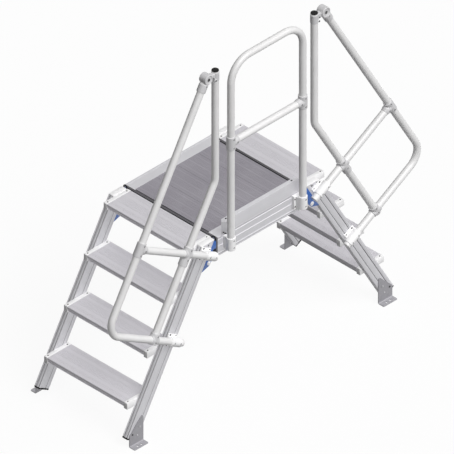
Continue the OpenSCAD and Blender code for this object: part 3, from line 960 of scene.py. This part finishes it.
class MakeStringerEnds(Operator):
    """Cast caps on top of the stringers and ribbed rubber shoes under them"""

    bl_idname = "crossover.stringer_ends"
    bl_label = "Stringer Caps and Shoes"

    def execute(self, context):
        low = DECK_Z - CAP_T
        lid, step, lip = 0.005, 0.0012, 0.002
        corners = [((BACK_OUT - z * COS) / SIN, z) for z in (low, DECK_Z)]
        corners += [((FRONT_OUT - z * COS) / SIN, z) for z in (DECK_Z, low)]
        top = [(x, max(z, DECK_Z - lid)) for x, z in corners]
        skirt = [(x + step * (1 if n < 2 else -1), z - lip * (n in (1, 2)))
                 for n, (x, z) in enumerate(corners)]
        caps = Shape()
        caps.prism(top, -OUTER_Y, -INNER_Y, IN_XZ, bevel=step)
        caps.prism(skirt, step - OUTER_Y, -INNER_Y - step, IN_XZ)
        caps.at_four_corners().piece("stringer_end_caps", "pale", "stringer_caps")
        grooves, wide, deep, edge = 4, 0.003, 0.002, 0.0008
        sole = [(FRONT_OUT, FOOT_RUN, wide)]
        for n in range(grooves, 0, -1):
            x = BACK_OUT + (FRONT_OUT - BACK_OUT) * n / (grooves + 1)
            sole += [(x + wide, FOOT_RUN, 0), (x + deep, FOOT_RUN + deep, 0)]
            sole += [(x - deep, FOOT_RUN + deep, 0), (x - wide, FOOT_RUN, 0)]
        sole += [(BACK_OUT, FOOT_RUN, wide), (BACK_OUT, FOOT_RUN + SHOE_T, 0)]
        sole += [(FRONT_OUT, FOOT_RUN + SHOE_T, 0)]
        shoes = Shape()
        shoes.prism(rounded(sole), -OUTER_Y, -INNER_Y, SLOPE @ IN_XZ, bevel=edge)
        shoes.at_four_corners().piece("stringer_rubber_shoes", "black", "stringer_shoes")
        return {"FINISHED"}


class MakeFeet(Operator):
    """Bent zinc plated feet, bolted to the stringers, with two anchor holes each"""

    bl_idname = "crossover.feet"
    bl_label = "Feet"

    def execute(self, context):
        s = settings().plate
        low, high = box("foot_right_far")
        back, front, top = low.x, high.x, high.z
        inner, edge = OUTER_Y, high.y - MIDDLE_Y
        centre = inner + s.foot_bend
        bend = centre + s.foot_t
        section = [(inner, top), *arc(centre, s.foot_bend, s.foot_bend, 180, 270)]
        section += [(bend, 0), (bend, s.foot_t)]
        section += arc(centre, s.foot_bend, s.foot_bend - s.foot_t, 270, 180)
        section += [(inner + s.foot_t, top)]
        slant = (Vector((0, s.foot_low, front)), Vector((0, 1, 1)).normalized())
        middle, row = (back + front) / 2, inner + s.foot_t + s.anchor_in
        holes = [circle(middle + k * s.anchor_pitch / 2, row, s.anchor_r) for k in (-1, 1)]
        flange = panel((back, bend), (front, edge), high_r=s.flange_corner)
        for ending, where in both_ways():
            shape = Shape()
            shape.draw(section, back, front, cut=slant)
            shape.soften(s.foot_corner, 4, 20, along=(1, 0, 0), above=2 * s.foot_bend)
            shape.settle(IN_YZ)
            shape.prism(flange, 0, s.foot_t, holes=holes)
            shape.put(where).piece(f"foot_bracket_{ending}", "zinc", f"foot_{ending}", sharp=40)
        return {"FINISHED"}


class MakeTreads(Operator):
    """Ribbed extruded treads with a rounded nosing and plain bands"""

    bl_idname = "crossover.treads"
    bl_label = "Treads"

    def execute(self, context):
        s = settings().profile
        for side, x in SIDES:
            for n, (low, high) in enumerate(TREADS):
                shape = Shape()
                points = self.section(s, low.x, high.x, low.z - high.z, 0)
                shape.prism(points, -TREAD_HALF, TREAD_HALF, move(z=high.z) @ IN_XZ)
                shape.put(place(x, 1)).piece(
                    f"tread_plank_{side}_{n + 1}", "tread", f"tread_{side}_{n + 1}"
                )
        return {"FINISHED"}

    def section(self, s, back, front, low, top):
        third = (front - back) / 3
        flats = [
            (back, back + 0.5 * s.band_w),
            (back + s.band_in, back + s.band_in + s.band_w),
            (front - s.band_in - s.band_w, front - s.band_in),
            (front - 0.8 * s.band_w, front),
        ]
        heel, nose = 0.002, 0.005
        line = arc(back + heel, top - heel, heel, 180, 90, 3)
        line += ribs(back, front, top, s.rib_pitch, s.rib_depth, flats)
        line += arc(front - nose, top - nose, nose, 90, 0, 5)
        # The nosing's face: a slit under its brow, a hook at its foot
        brow, slit, slit_w, slant, set_back = 0.0120, 0.0020, 0.0036, 0.0006, 0.0005
        line += [(front, top - brow), (front - slit, top - brow - slant)]
        line += [(front - slit, top - brow - slit_w + slant)]
        line += [(front - set_back, top - brow - slit_w)]
        foot, hook, hook_in = 0.0030, 0.0040, 0.0058
        line += [(front - hook, low + hook + set_back), (front - hook_in, low + hook)]
        line += [(front - hook_in, low + 0.0022), (front - foot, low + 0.0018)]
        line += [(front - foot, low)]
        # Three chambers open downwards between its feet
        wall, rise, edge = 0.004, 0.003, 0.001
        for k in (2, 1, 0):
            left, right = back + k * third + wall, back + (k + 1) * third - wall
            line += [(right, low), (right - edge, low + rise)]
            line += [(left + edge, low + rise), (left, low)]
        line += arc(back + heel, low + heel, heel, 270, 180, 3)
        return line


class MakeTreadEnds(Operator):
    """Cast brackets that close each tread and carry it on the stringers"""

    bl_idname = "crossover.tread_ends"
    bl_label = "Tread Ends"

    def execute(self, context):
        wall, edge = settings().plate.end_wall, 0.001
        hollow = ((0, 0, -1), wall, TREAD_END_H - wall - edge)
        for side, x in SIDES:
            shape = Shape()
            for low, high in TREADS:
                corner = (low.x, TREAD_HALF, high.z - TREAD_END_H)
                shape.block(corner, (high.x, INNER_Y, high.z), edge, pocket=hollow)
            shape.put(place(x, 1)).double(MIRROR_Y)
            shape.piece(f"tread_brackets_{side}", "pale", f"tread_ends_{side}")
        return {"FINISHED"}


class MakeFlightFixings(Operator):
    """Screws of the tread ends and of the stringers' tops, and the fixings of the feet"""

    bl_idname = "crossover.flight_fixings"
    bl_label = "Flight Fixings"

    def execute(self, context):
        s = settings().fixing
        front = box("foot_right_far")[1].x
        face = OUTER_Y + settings().plate.foot_t
        screws, bolts = Shape(), Shape()
        for low, high in TREADS:
            for x in (low.x + s.tread_screw_in, high.x - s.tread_screw_in):
                screws.screw(move(x, (TREAD_HALF + INNER_Y) / 2, high.z), s.tread_screw_r)
        behind, z = s.foot_screw
        screws.screw(move(front - behind, face, z) @ ACROSS, s.foot_screw_r)
        for drop in s.top_screw_drops:
            spot = move(STRINGER_X + s.top_screw_in, OUTER_Y, DECK_Z - drop)
            screws.screw(spot @ ACROSS, s.top_screw_r)
        behind, z = s.foot_low_screw
        bolts.screw(move(front - behind, face, z) @ ACROSS, s.foot_low_screw_r)
        behind, z = s.foot_bolt
        bolts.bolt(move(front - behind, face, z) @ ACROSS, s.foot_bolt_scale)
        screws.at_four_corners().piece("flight_screws", "screw")
        bolts.at_four_corners().piece("foot_bolts", "steel")
        return {"FINISHED"}


# ---- Pieces of the platform ----


class MakePlatformSides(Operator):
    """Edge profiles of the platform with stepped outer faces"""

    bl_idname = "crossover.platform_sides"
    bl_label = "Platform Sides"

    def execute(self, context):
        s = settings().platform
        inner, outer = SIDE_LOW.y - MIDDLE_Y, SIDE_HIGH.y - MIDDLE_Y
        low, top = SIDE_LOW.z, SIDE_HIGH.z
        face, start, deep = outer - s.step, low + s.groove_in, s.groove_depth
        bevel, corner, lip = 0.001, 0.0015, 0.012
        section = [(inner, low + bevel), (inner + bevel, low), (outer - bevel, low)]
        section += [(outer, low + bevel), (outer, start), (outer - deep, start + deep)]
        section += [(outer, start + 2 * deep), (outer, top - s.ledge - s.step)]
        section += [(face, top - s.ledge)]
        for drop in (s.second_ridge, s.first_ridge):
            under, over = top - drop - s.ridge / 2, top - drop + s.ridge / 2
            section += [(face, under - s.step), (outer, under)]
            section += [(outer, over), (face, over + s.step)]
        section += [(outer, top - corner), (outer - corner, top), (outer - lip, top)]
        section += [(outer - lip - bevel, top - bevel), (inner + lip + bevel, top - bevel)]
        section += [(inner + lip, top), (inner + bevel, top), (inner, top - bevel)]
        for edge, y in EDGES:
            shape = Shape()
            shape.prism(section, SIDE_LOW.x, SIDE_HIGH.x, IN_YZ)
            shape.put(place(1, y)).piece(
                f"platform_profile_{edge}", "mill", f"platform_side_{edge}"
            )
        return {"FINISHED"}


class MakeEndPlates(Operator):
    """Slotted dark plates across the platform's ends, with ringed plugs at their corners"""

    bl_idname = "crossover.end_plates"
    bl_label = "End Plates"

    def execute(self, context):
        low, high = END_LOW, END_HIGH
        half, middle = (high.y - low.y) / 2, (low.z + high.z) / 2
        outline = panel((-half, low.z), (half, high.z), 0.004, 0.002)
        reach, rise, spread = 0.035, 0.012, 0.17
        end_r = rise - 0.0005
        slots = [
            panel((y - reach, middle - rise), (y + reach, middle + rise), end_r, end_r)
            for y in (-spread, 0, spread)
        ]
        for side, x in SIDES:
            shape = Shape()
            shape.prism(outline, low.x, high.x, IN_YZ, holes=slots)
            shape.put(place(x, 1)).piece(f"end_plate_{side}", "dark", f"platform_end_{side}")
        plug_r, ring_r, ring_h, sunk, slant = 0.0095, 0.0140, 0.004, -0.001, 0.0015
        side_in, drop = 0.0155, 0.004
        spot = move(high.x, half - side_in, DECK_Z - drop) @ IN_YZ
        ring = [(0.009, sunk), (plug_r, ring_h), (ring_r - slant, ring_h)]
        ring += [(ring_r, ring_h - slant), (ring_r, sunk)]
        rings, plugs = Shape(), Shape()
        rings.turned(ring, spot, 36)
        plugs.disc(plug_r, sunk, ring_h / 2, spot, bevel=0.0006, sides=28)
        rings.at_four_corners().piece("corner_rings", "black")
        plugs.at_four_corners().piece("corner_plugs", "mill")
        return {"FINISHED"}


class MakeDeck(Operator):
    """Four ribbed deck planks side by side"""

    bl_idname = "crossover.deck"
    bl_label = "Deck"

    def execute(self, context):
        s = settings().platform
        half = (DECK_HIGH.y - DECK_LOW.y) / 2
        under = DECK_LOW.z - DECK_Z
        width = (DECK_HIGH.x - DECK_LOW.x) / s.planks
        gap, edge, wall, slant, rise, crests = 0.0004, 0.0015, 0.020, 0.001, 0.006, 3
        shape = Shape()
        for n in range(s.planks):
            low = DECK_LOW.x + n * width + gap
            high = low + width - 2 * gap
            middles = [low + width * (k + 0.5) / crests for k in range(crests)]
            flats = [(middle - s.crest_w / 2, middle + s.crest_w / 2) for middle in middles]
            line = arc(low + edge, -edge, edge, 180, 90, 3)
            line += ribs(low, high, 0, s.deck_pitch, s.deck_depth, flats)
            line += arc(high - edge, -edge, edge, 90, 0, 3)
            line += [(high, under), (high - wall, under), (high - wall - slant, under + rise)]
            line += [(low + wall + slant, under + rise), (low + wall, under), (low, under)]
            shape.prism(line, -half, half, move(z=DECK_Z) @ IN_XZ)
        shape.put(place(1, 1)).piece("deck_planks", "deck", "deck")
        return {"FINISHED"}


class MakeWedges(Operator):
    """Blue brackets that fill the corner between the end plate and the stringer"""

    bl_idname = "crossover.wedges"
    bl_label = "Wedge Brackets"

    def execute(self, context):
        clear, below_deck = 0.004, 0.016
        near, low, top = WEDGE_LOW.x, WEDGE_LOW.z + clear, DECK_Z - below_deck
        stem, tab = 0.023, 0.045
        outline = rounded([
            (near, top, 0), ((BACK_OUT - top * COS) / SIN, top, 0),
            ((BACK_OUT - low * COS) / SIN, low, 0.002), (near + 0.049, low + 0.017, 0.02),
            (near + stem, low + 0.052, 0.03), (near + stem, top - tab, 0.006),
            (near, top - tab, 0.001),
        ], 8)
        for side, x in SIDES:
            shape = Shape()
            shape.prism(outline, -OUTER_Y, -INNER_Y, IN_XZ, bevel=0.0008)
            shape.put(place(x, 1)).double(MIRROR_Y)
            shape.piece(f"wedge_brackets_{side}", "blue", f"wedges_{side}")
        return {"FINISHED"}


class MakeToeBoard(Operator):
    """Kick board along the guarded edge, with lips, slanted ends and a bracket plate at each"""

    bl_idname = "crossover.toe_board"
    bl_label = "Toe Board"

    def execute(self, context):
        s = settings().platform
        inner, outer = MIDDLE_Y - TOE_HIGH.y, MIDDLE_Y - TOE_LOW.y
        low, top = TOE_LOW.z, TOE_HIGH.z
        lip, sunk, slant, corner = s.toe_lip, s.toe_step, 0.0004, 0.002
        section = [(inner, low), (outer, low)]
        section += arc(outer - corner, top - corner, corner, 0, 90, 4)
        section += [(outer - lip, top), (outer - lip - slant, top - sunk)]
        section += [(inner + lip + slant, top - sunk), (inner + lip, top)]
        section += arc(inner + corner, top - corner, corner, 90, 180, 4)
        shape = Shape()
        shape.draw(section, TOE_LOW.x, TOE_HIGH.x)
        for end, way in ((TOE_LOW.x, -1), (TOE_HIGH.x, 1)):
            shape.slice((outer, 0, end), Vector((-1, 0, way)).normalized())
        shape.settle(IN_YZ)
        shape.put(place(1, -1)).piece("toe_board_profile", "mill", "toe_board")
        slope = sin(pi / 4)
        reach = (GUARD_Y - outer - 0.7 * TUBE_R) / slope
        stand_off = axes((-slope, slope, 0), (-slope, -slope, 0), (0, 0, 1), (TOE_HIGH.x, outer, 0))
        base = low + s.plate_rise
        plates, screws = Shape(), Shape()
        plates.block((0, 0, base), (reach, s.plate_t, top + s.plate_rise), 0.0008, stand_off)
        plate_screw_r, top_screw_r, top_screw_in = 0.0045, 0.0055, 0.046
        for x, rise in ((0.012, 0.012), (0.021, 0.006)):
            screws.screw(stand_off @ BACKWARDS @ move(x, base + rise), plate_screw_r)
        screws.screw(
            move(TOE_HIGH.x - top_screw_in, (inner + outer) / 2, top - s.toe_step), top_screw_r
        )
        plates.at_near_corners().piece("toe_board_brackets", "mill")
        screws.at_near_corners().piece("toe_board_screws", "screw")
        return {"FINISHED"}


class MakePlatformFixings(Operator):
    """Bolts of the wedges and of the end plates"""

    bl_idname = "crossover.platform_fixings"
    bl_label = "Platform Fixings"

    def execute(self, context):
        s = settings().platform
        bolts, bosses = Shape(), Shape()
        x, z = WEDGE_LOW.x + s.lug_bolt_x, DECK_Z - s.lug_bolt_drop
        boss_r, boss_h, head_r, head_h, sunk = 0.0125, 0.0025, 0.0075, 0.004, 0.001
        for y, facing in ((OUTER_Y, ACROSS), (INNER_Y, BACKWARDS)):
            spot = move(x, y, z) @ facing
            bosses.disc(boss_r, -sunk, boss_h, spot, bevel=0.0006, sides=28)
            bosses.disc(head_r, boss_h, boss_h + head_h, spot, bevel=0.0007, sides=6)
        outer_bolt, inner_bolt, inset, scale = 0.275, 0.235, 0.03, 0.8
        for y in (outer_bolt, inner_bolt):
            for z in (END_LOW.z + inset, END_HIGH.z - inset):
                bolts.bolt(move(END_HIGH.x, y, z) @ IN_YZ, scale)
        bolts.at_four_corners().piece("platform_bolts", "steel")
        bosses.at_four_corners().piece("wedge_bolts", "pale", slot="zinc_plate")
        return {"FINISHED"}


# ---- Guard, handrails and their fittings ----


def tubes(name, node, x, *runs, **how):
    """A piece of rail tube on the near side, made of (start, moves) runs."""
    shape = Shape()
    for start, moves in runs:
        shape.tube(start, moves, **how)
    shape.put(place(x, -1)).piece(name, "tube", node)


class MakeGuardTubes(Operator):
    """Guard hoop bent from one tube, and its mid rail"""

    bl_idname = "crossover.guard_tubes"
    bl_label = "Guard Tubes"

    def execute(self, context):
        bend, half, open_end = settings().fitting.guard_bend, GUARD_X - TUBE_END, 0.06
        up, quarter = GUARD_TOP - bend - GUARD_LOW.z, ("bend", bend, pi / 2)
        tubes(
            "guard_bent_tube", "guard_hoop", 1, (
                move(-GUARD_X, GUARD_Y, GUARD_LOW.z),
                [("go", up), quarter, ("go", 2 * (GUARD_X - bend)), quarter, ("go", up)],
            ), open_start=open_end,
        )
        tubes(
            "guard_rail_tube", "guard_mid_rail", 1,
            (move(-half, GUARD_Y, MID_RAIL_Z) @ turn(90, "Y"), [("go", 2 * half)]),
        )
        return {"FINISHED"}


def low_strut(x):
    """The run of side x's low strut."""
    return LOW_STRUT + settings().fitting.low_rise[x > 0]


class MakeHandrailTubes(Operator):
    """Bent handrails with their lower struts, knee rails and upper struts"""

    bl_idname = "crossover.handrail_tubes"
    bl_label = "Handrail Tubes"

    def execute(self, context):
        bend = settings().fitting.knee_bend
        bend_z = (KNEE_OUT + bend - (KNEE_X + bend) * SIN) / COS
        bend_run = slope_point(KNEE_X + bend, bend_z)[1]
        gap = TUBE_END
        for side, x in SIDES:
            run = low_strut(x)
            tubes(f"handrail_tube_{side}", f"handrail_{side}", x, (
                SLOPE @ move(STRUT_START, RAIL_Y, run) @ OUTWARDS,
                [("go", HAND_OUT - HAND_BEND_R - STRUT_START), ("bend", HAND_BEND_R, pi / 2),
                 ("go", HAND_TOP - run - HAND_BEND_R)],
            ))
            tubes(f"knee_rail_tube_{side}", f"knee_rail_{side}", x, (
                SLOPE @ move(KNEE_OUT, RAIL_Y, run + gap),
                [("go", bend_run - run - gap), ("bend", bend, pi / 2 - PITCH),
                 ("go", KNEE_TOP - bend_z)],
            ))
            tubes(f"strut_tubes_{side}", f"strut_{side}", x, *(
                (SLOPE @ move(start, RAIL_Y, HIGH_STRUT) @ OUTWARDS, [("go", end - start)])
                for start, end in ((STRUT_START, KNEE_OUT - gap), (KNEE_OUT + gap, HAND_OUT - gap))
            ))
        return {"FINISHED"}


def fitting(shape, screws, matrix, low=None):
    """A tee with its sleeve along Z and its set screws, or a cross that reaches low below."""
    s = settings().fitting
    half, edge, overlap = s.sleeve / 2, 0.001, 0.0005
    cross = low is not None
    low = low if cross else half
    shape.sleeve(-low, half, matrix)
    low_screw, high_screw, mouth_screw = max(0.014 - low, -0.028), half - 0.013, 0.003
    spots = [matrix @ move(z=end) for end in (low_screw, high_screw)]
    neck = FIT_R + edge if cross else s.socket - s.flare
    for way in (-1, 1) if cross else (-1,):
        side = matrix @ turn(90 * way, "Y")
        shape.sleeve(0, neck, side, edge=edge)
        if not cross:
            shape.disc(FIT_R, neck - overlap, s.socket, side, sides=48, top=TUBE_R + edge)
            spots.append(side @ move(z=neck - mouth_screw))
    for spot in spots:
        screws.grub(spot @ ACROSS @ move(z=FIT_R))


def rail_tees(x):
    """The fittings of side x's rails: frame, and a cross's reach below its strut."""
    s = settings().fitting
    yield SLOPE @ move(HAND_OUT, RAIL_Y, HIGH_STRUT), None
    yield SLOPE @ move(KNEE_OUT, RAIL_Y, HIGH_STRUT), s.cross_reach
    yield SLOPE @ move(KNEE_OUT, RAIL_Y, low_strut(x)), s.sleeve_end


class MakeTees(Operator):
    """Cast tees and crosses on the guard and the handrails"""

    bl_idname = "crossover.tees"
    bl_label = "Tees and Crosses"

    def execute(self, context):
        shape, screws = Shape(), Shape()
        fitting(shape, screws, move(GUARD_X, GUARD_Y, MID_RAIL_Z))
        shape.at_near_corners().casting("guard_tee_castings", "guard_tees")
        screws.at_near_corners().piece("guard_tee_screws", "screw")
        for side, x in SIDES:
            shape, screws = Shape(), Shape()
            for matrix, low in rail_tees(x):
                fitting(shape, screws, matrix, low)
            shape.put(place(x, -1)).casting(f"rail_tee_castings_{side}", f"rail_tees_{side}")
            screws.put(place(x, -1)).piece(f"rail_tee_screws_{side}", "screw")
        return {"FINISHED"}


class MakeStringerClamps(Operator):
    """Clamps that hold the struts on the stringers' outer faces"""

    bl_idname = "crossover.stringer_clamps"
    bl_label = "Stringer Clamps"

    def execute(self, context):
        s = settings().fitting
        for side, x in SIDES:
            shape, screws = Shape(), Shape()
            self.clamp(shape, screws, low_strut(x), s.low_slide[x > 0])
            self.clamp(shape, screws, HIGH_STRUT, s.high_slide[x > 0])
            shape.put(place(x, -1)).casting(
                f"stringer_clamp_castings_{side}", f"stringer_clamps_{side}", finish="pale"
            )
            screws.put(place(x, -1)).piece(f"stringer_clamp_screws_{side}", "screw")
        return {"FINISHED"}

    def clamp(self, shape, screws, run, slide):
        s = settings().fitting
        behind, most_slide, past = 0.006, 0.012, 0.004
        start = STRUT_START - behind + slide
        back, front = BACK_OUT + min(slide, most_slide), FRONT_OUT + past
        half, face, block_half, overlap = s.clamp_w / 2, OUTER_Y + s.clamp_t, 0.020, 0.001
        shape.sleeve(0, s.clamp_l, SLOPE @ move(start, RAIL_Y, run) @ OUTWARDS)
        shape.block((back, OUTER_Y, run - half), (front, face, run + half), 0.0025, SLOPE)
        low, high = run - block_half, run + block_half
        shape.block((back, face - overlap, low), (front, RAIL_Y, high), 0.002, SLOPE)
        screw_half, grub_in = 0.0285, 0.016
        for out, r in ((back + 0.012, 0.0035), (front - 0.013, 0.0052)):
            for k in (-1, 1):
                screws.screw(SLOPE @ move(out, face, run + k * screw_half) @ ACROSS, r)
        for out in (start + grub_in, start + s.clamp_l - grub_in):
            screws.grub(SLOPE @ move(out, RAIL_Y + FIT_R, run) @ ACROSS)


class MakePostClamps(Operator):
    """Clamp sockets of the guard posts, bolted to the platform's side"""

    bl_idname = "crossover.post_clamps"
    bl_label = "Post Clamps"

    def execute(self, context):
        s = settings().fitting
        low, high = DECK_Z - s.post_drop, DECK_Z + s.post_rise
        left, right = GUARD_X - s.post_base_in, GUARD_X + s.post_base_out
        below_deck, recess, overlap = 0.003, 0.010, 0.004
        under, over = DECK_Z - s.post_base_h, DECK_Z - below_deck
        face = OUTER_Y + s.post_base_t
        shape, screws = Shape(), Shape()
        shape.sleeve(0, high - low, move(GUARD_X, GUARD_Y, low))
        shape.block((left, OUTER_Y, under), (right, face, over), 0.0025)
        shape.block((left + recess, face - overlap, under), (right, GUARD_Y, over), 0.002)
        screw_in, screw_drop, screw_r, grub_drop = 0.0055, 0.018, 0.0042, 0.016
        for z in (over - screw_drop, under + screw_drop):
            screws.screw(move(left + screw_in, face, z) @ ACROSS, screw_r)
        for z in (high - grub_drop, low + screw_drop):
            screws.grub(move(GUARD_X, GUARD_Y + FIT_R, z) @ ACROSS)
        shape.at_near_corners().casting("post_clamp_castings", "guard_post_clamps", finish="pale")
        screws.at_near_corners().piece("post_clamp_screws", "screw")
        return {"FINISHED"}


class MakeKnuckles(Operator):
    """Rounded knuckles that join the knee rails to the handrails"""

    bl_idname = "crossover.knuckles"
    bl_label = "Knuckles"

    def execute(self, context):
        s = settings().fitting
        z = KNEE_TOP - s.knuckle_drop
        x = (HAND_OUT - z * COS) / SIN
        pivot = slope_point(x, z)[1]
        half, r = s.knuckle_w / 2, s.knuckle_r
        low, top = KNEE_TOP - 0.004 - s.collar, KNEE_TOP - 0.006
        arm, chamfer, recess, neck, boss_r = 0.014, 0.0025, 0.003, 0.013, 0.007
        boss = move(KNEE_X + 0.016, RAIL_Y + arm, low + 0.010) @ ACROSS
        barrel = move(x, RAIL_Y, z) @ ACROSS
        under = pivot - r
        rim = [(r - boss_r, -half), (r - chamfer, -half), (r, chamfer - half)]
        rim += [(rim_r, -y) for rim_r, y in rim[::-1]]
        for side, way in SIDES:
            shape = Shape()
            shape.sleeve(0, s.collar, move(KNEE_X, RAIL_Y, low), s.collar_r)
            shape.block((KNEE_X, RAIL_Y - arm, z - 0.75 * r), (x, RAIL_Y + arm, top), 0.004)
            shape.disc(boss_r, 0, 0.008, boss)
            shape.turned(rim, barrel, 56)
            shape.disc(r - 0.005, recess - half, half - recess, barrel, sides=48)
            shape.sleeve(HAND_TOP - s.socket, under - 0.002, SLOPE @ move(HAND_OUT, RAIL_Y))
            shape.block(
                (HAND_OUT - neck, RAIL_Y - half + recess, under - 0.012),
                (HAND_OUT + neck, RAIL_Y + half - recess, pivot), 0.003, SLOPE,
            )
            shape.put(place(way, -1)).casting(f"knuckle_casting_{side}", f"knuckle_{side}")
        screws, head_r, grub_drop = Shape(), 0.005, 0.038
        for facing in (ACROSS, BACKWARDS):
            end = move(x, RAIL_Y, z) @ facing @ move(z=half - recess)
            screws.disc(0.009, 0, recess / 2, end, bevel=0.0006, sides=24)
            screws.screw(end @ move(z=recess / 2), 0.006)
        screws.screw(move(KNEE_X + 0.026, RAIL_Y + arm, z - 0.014) @ ACROSS, head_r)
        screws.screw(boss @ move(z=0.008), head_r)
        for y, facing in ((FIT_R, ACROSS), (-FIT_R, BACKWARDS)):
            screws.grub(SLOPE @ move(HAND_OUT, RAIL_Y + y, pivot - grub_drop) @ facing)
        screws.at_near_corners().piece("knuckle_bolts", "screw")
        return {"FINISHED"}


class MakeRailCaps(Operator):
    """Domed plastic caps on the knee rails"""

    bl_idname = "crossover.rail_caps"
    bl_label = "Rail Caps"

    def execute(self, context):
        clear, dome = 0.00001, 0.55
        high = CAP_TOP - KNEE_TOP - clear
        shape = Shape()
        bmesh.ops.create_cone(
            shape.bm, cap_ends=True, segments=40, radius1=TUBE_R, radius2=TUBE_R, depth=high,
            matrix=move(z=high / 2),
        )
        shape.soften(dome * high, 5, 50)
        shape.settle(move(KNEE_X, RAIL_Y, KNEE_TOP))
        shape.at_near_corners().piece("rail_end_caps", "black", "rail_caps")
        return {"FINISHED"}


# ---- Studio ----


def pale_floor(glow):
    """White to the camera with the object's shadow kept, plain matt to everything else."""
    finish = Finish("Studio floor", specular=0.1)
    finish.drive("Roughness", 0.9)
    seen = finish.seen()
    finish.drive("Base Color", finish.mix(seen, (0.2, 0.2, 0.2, 1), (0.95, 0.95, 0.95, 1)))
    matt = Wire(finish, finish.surface.outputs[0])
    white = finish.add("ShaderNodeEmission", {}, {"Strength": 1.0})
    mixed = finish.add("ShaderNodeMixShader", {}, {0: seen * glow, 1: matt, 2: white})
    finish.feed(finish.tree.nodes["Material Output"].inputs["Surface"], mixed)
    return finish.material


class MakeStudio(Operator):
    """Camera, pale floor, white surround and soft light"""

    bl_idname = "crossover.studio"
    bl_label = "Studio"

    def execute(self, context):
        s = settings().studio
        scene = context.scene
        scene.view_settings.view_transform = "Standard"
        self.camera(scene, s)
        self.floor(scene, s)
        self.light(scene, s)
        self.surround(scene, s)
        return {"FINISHED"}

    def camera(self, scene, s):
        camera = bpy.data.objects.new("Camera", bpy.data.cameras.new("Camera"))
        camera.data.type = "ORTHO"
        camera.data.ortho_scale = s.width
        a, e, distance = s.azimuth, s.elevation, 8
        back = Vector((sin(a) * cos(e), -cos(a) * cos(e), sin(e)))
        right = Vector((cos(a), sin(a), 0))
        up = back.cross(right)
        aim = right * s.aim_right + up * s.aim_up + Vector((0, MIDDLE_Y, 0))
        camera.matrix_world = axes(right, up, back, aim + back * distance)
        scene.collection.objects.link(camera)
        scene.camera = camera

    def floor(self, scene, s):
        bm = bmesh.new()
        half = 9
        bmesh.ops.create_grid(bm, x_segments=8, y_segments=8, size=half)
        mesh = bpy.data.meshes.new("Floor")
        bm.to_mesh(mesh)
        bm.free()
        mesh.materials.append(pale_floor(s.glow))
        floor = bpy.data.objects.new("Floor", mesh)
        scene.collection.objects.link(floor)

    def light(self, scene, s):
        way = Vector(s.sun_way).normalized()
        for name, strength, shadow in (("Key", s.key, True), ("Even", s.even, False)):
            light = bpy.data.lights.new(name, "SUN")
            light.energy = strength
            light.angle = s.softness
            light.use_shadow = shadow
            lamp = bpy.data.objects.new(name, light)
            lamp.rotation_euler = way.to_track_quat("Z", "Y").to_euler()
            scene.collection.objects.link(lamp)

    def surround(self, scene, s):
        world = scene.world or bpy.data.worlds.new("Surround")
        scene.world = world
        world.use_nodes = True
        recipe = Recipe(world.node_tree)
        sky = world.node_tree.nodes["Background"]
        sky.inputs["Color"].default_value = (1, 1, 1, 1)
        recipe.feed(sky.inputs["Strength"], recipe.seen() * (1 - s.fill) + s.fill)


# ---- Add-on ----


OPERATORS = (
    MakeStudio, MakeStringers, MakeStringerEnds, MakeFeet, MakeTreads, MakeTreadEnds,
    MakeFlightFixings, MakePlatformSides, MakeEndPlates, MakeDeck, MakeWedges, MakeToeBoard,
    MakePlatformFixings, MakeGuardTubes, MakeHandrailTubes, MakeTees, MakeStringerClamps,
    MakePostClamps, MakeKnuckles, MakeRailCaps,
)


class CrossoverPanel(Panel):
    """Lists the steps that build the crossover platform"""

    bl_idname = "VIEW3D_PT_crossover"
    bl_label = "Crossover Platform"
    bl_space_type = "VIEW_3D"
    bl_region_type = "UI"
    bl_category = "Crossover"

    def draw(self, context):
        for operator in OPERATORS:
            self.layout.operator(operator.bl_idname)
        for group in context.scene.crossover.bl_rna.properties:
            if group.type == "POINTER" and group.identifier != "rna_type":
                box = self.layout.box()
                box.label(text=group.name)
                sizes = getattr(context.scene.crossover, group.identifier)
                for size in sizes.bl_rna.properties:
                    if size.identifier not in ("rna_type", "name"):
                        box.prop(sizes, size.identifier)


GROUPS = (
    ProfileSizes, PlateSizes, PlatformSizes, FixingSizes, FittingSizes, FinishColours, StudioSizes,
    CrossoverSettings,
)


def register():
    for cls in (*GROUPS, *OPERATORS, CrossoverPanel):
        bpy.utils.register_class(cls)
    bpy.types.Scene.crossover = PointerProperty(type=CrossoverSettings)


def unregister():
    del bpy.types.Scene.crossover
    for cls in reversed((*GROUPS, *OPERATORS, CrossoverPanel)):
        bpy.utils.unregister_class(cls)


def main():
    register()
    for operator in OPERATORS:
        group, name = operator.bl_idname.split(".")
        getattr(getattr(bpy.ops, group), name)()


if __name__ == "__main__":
    main()
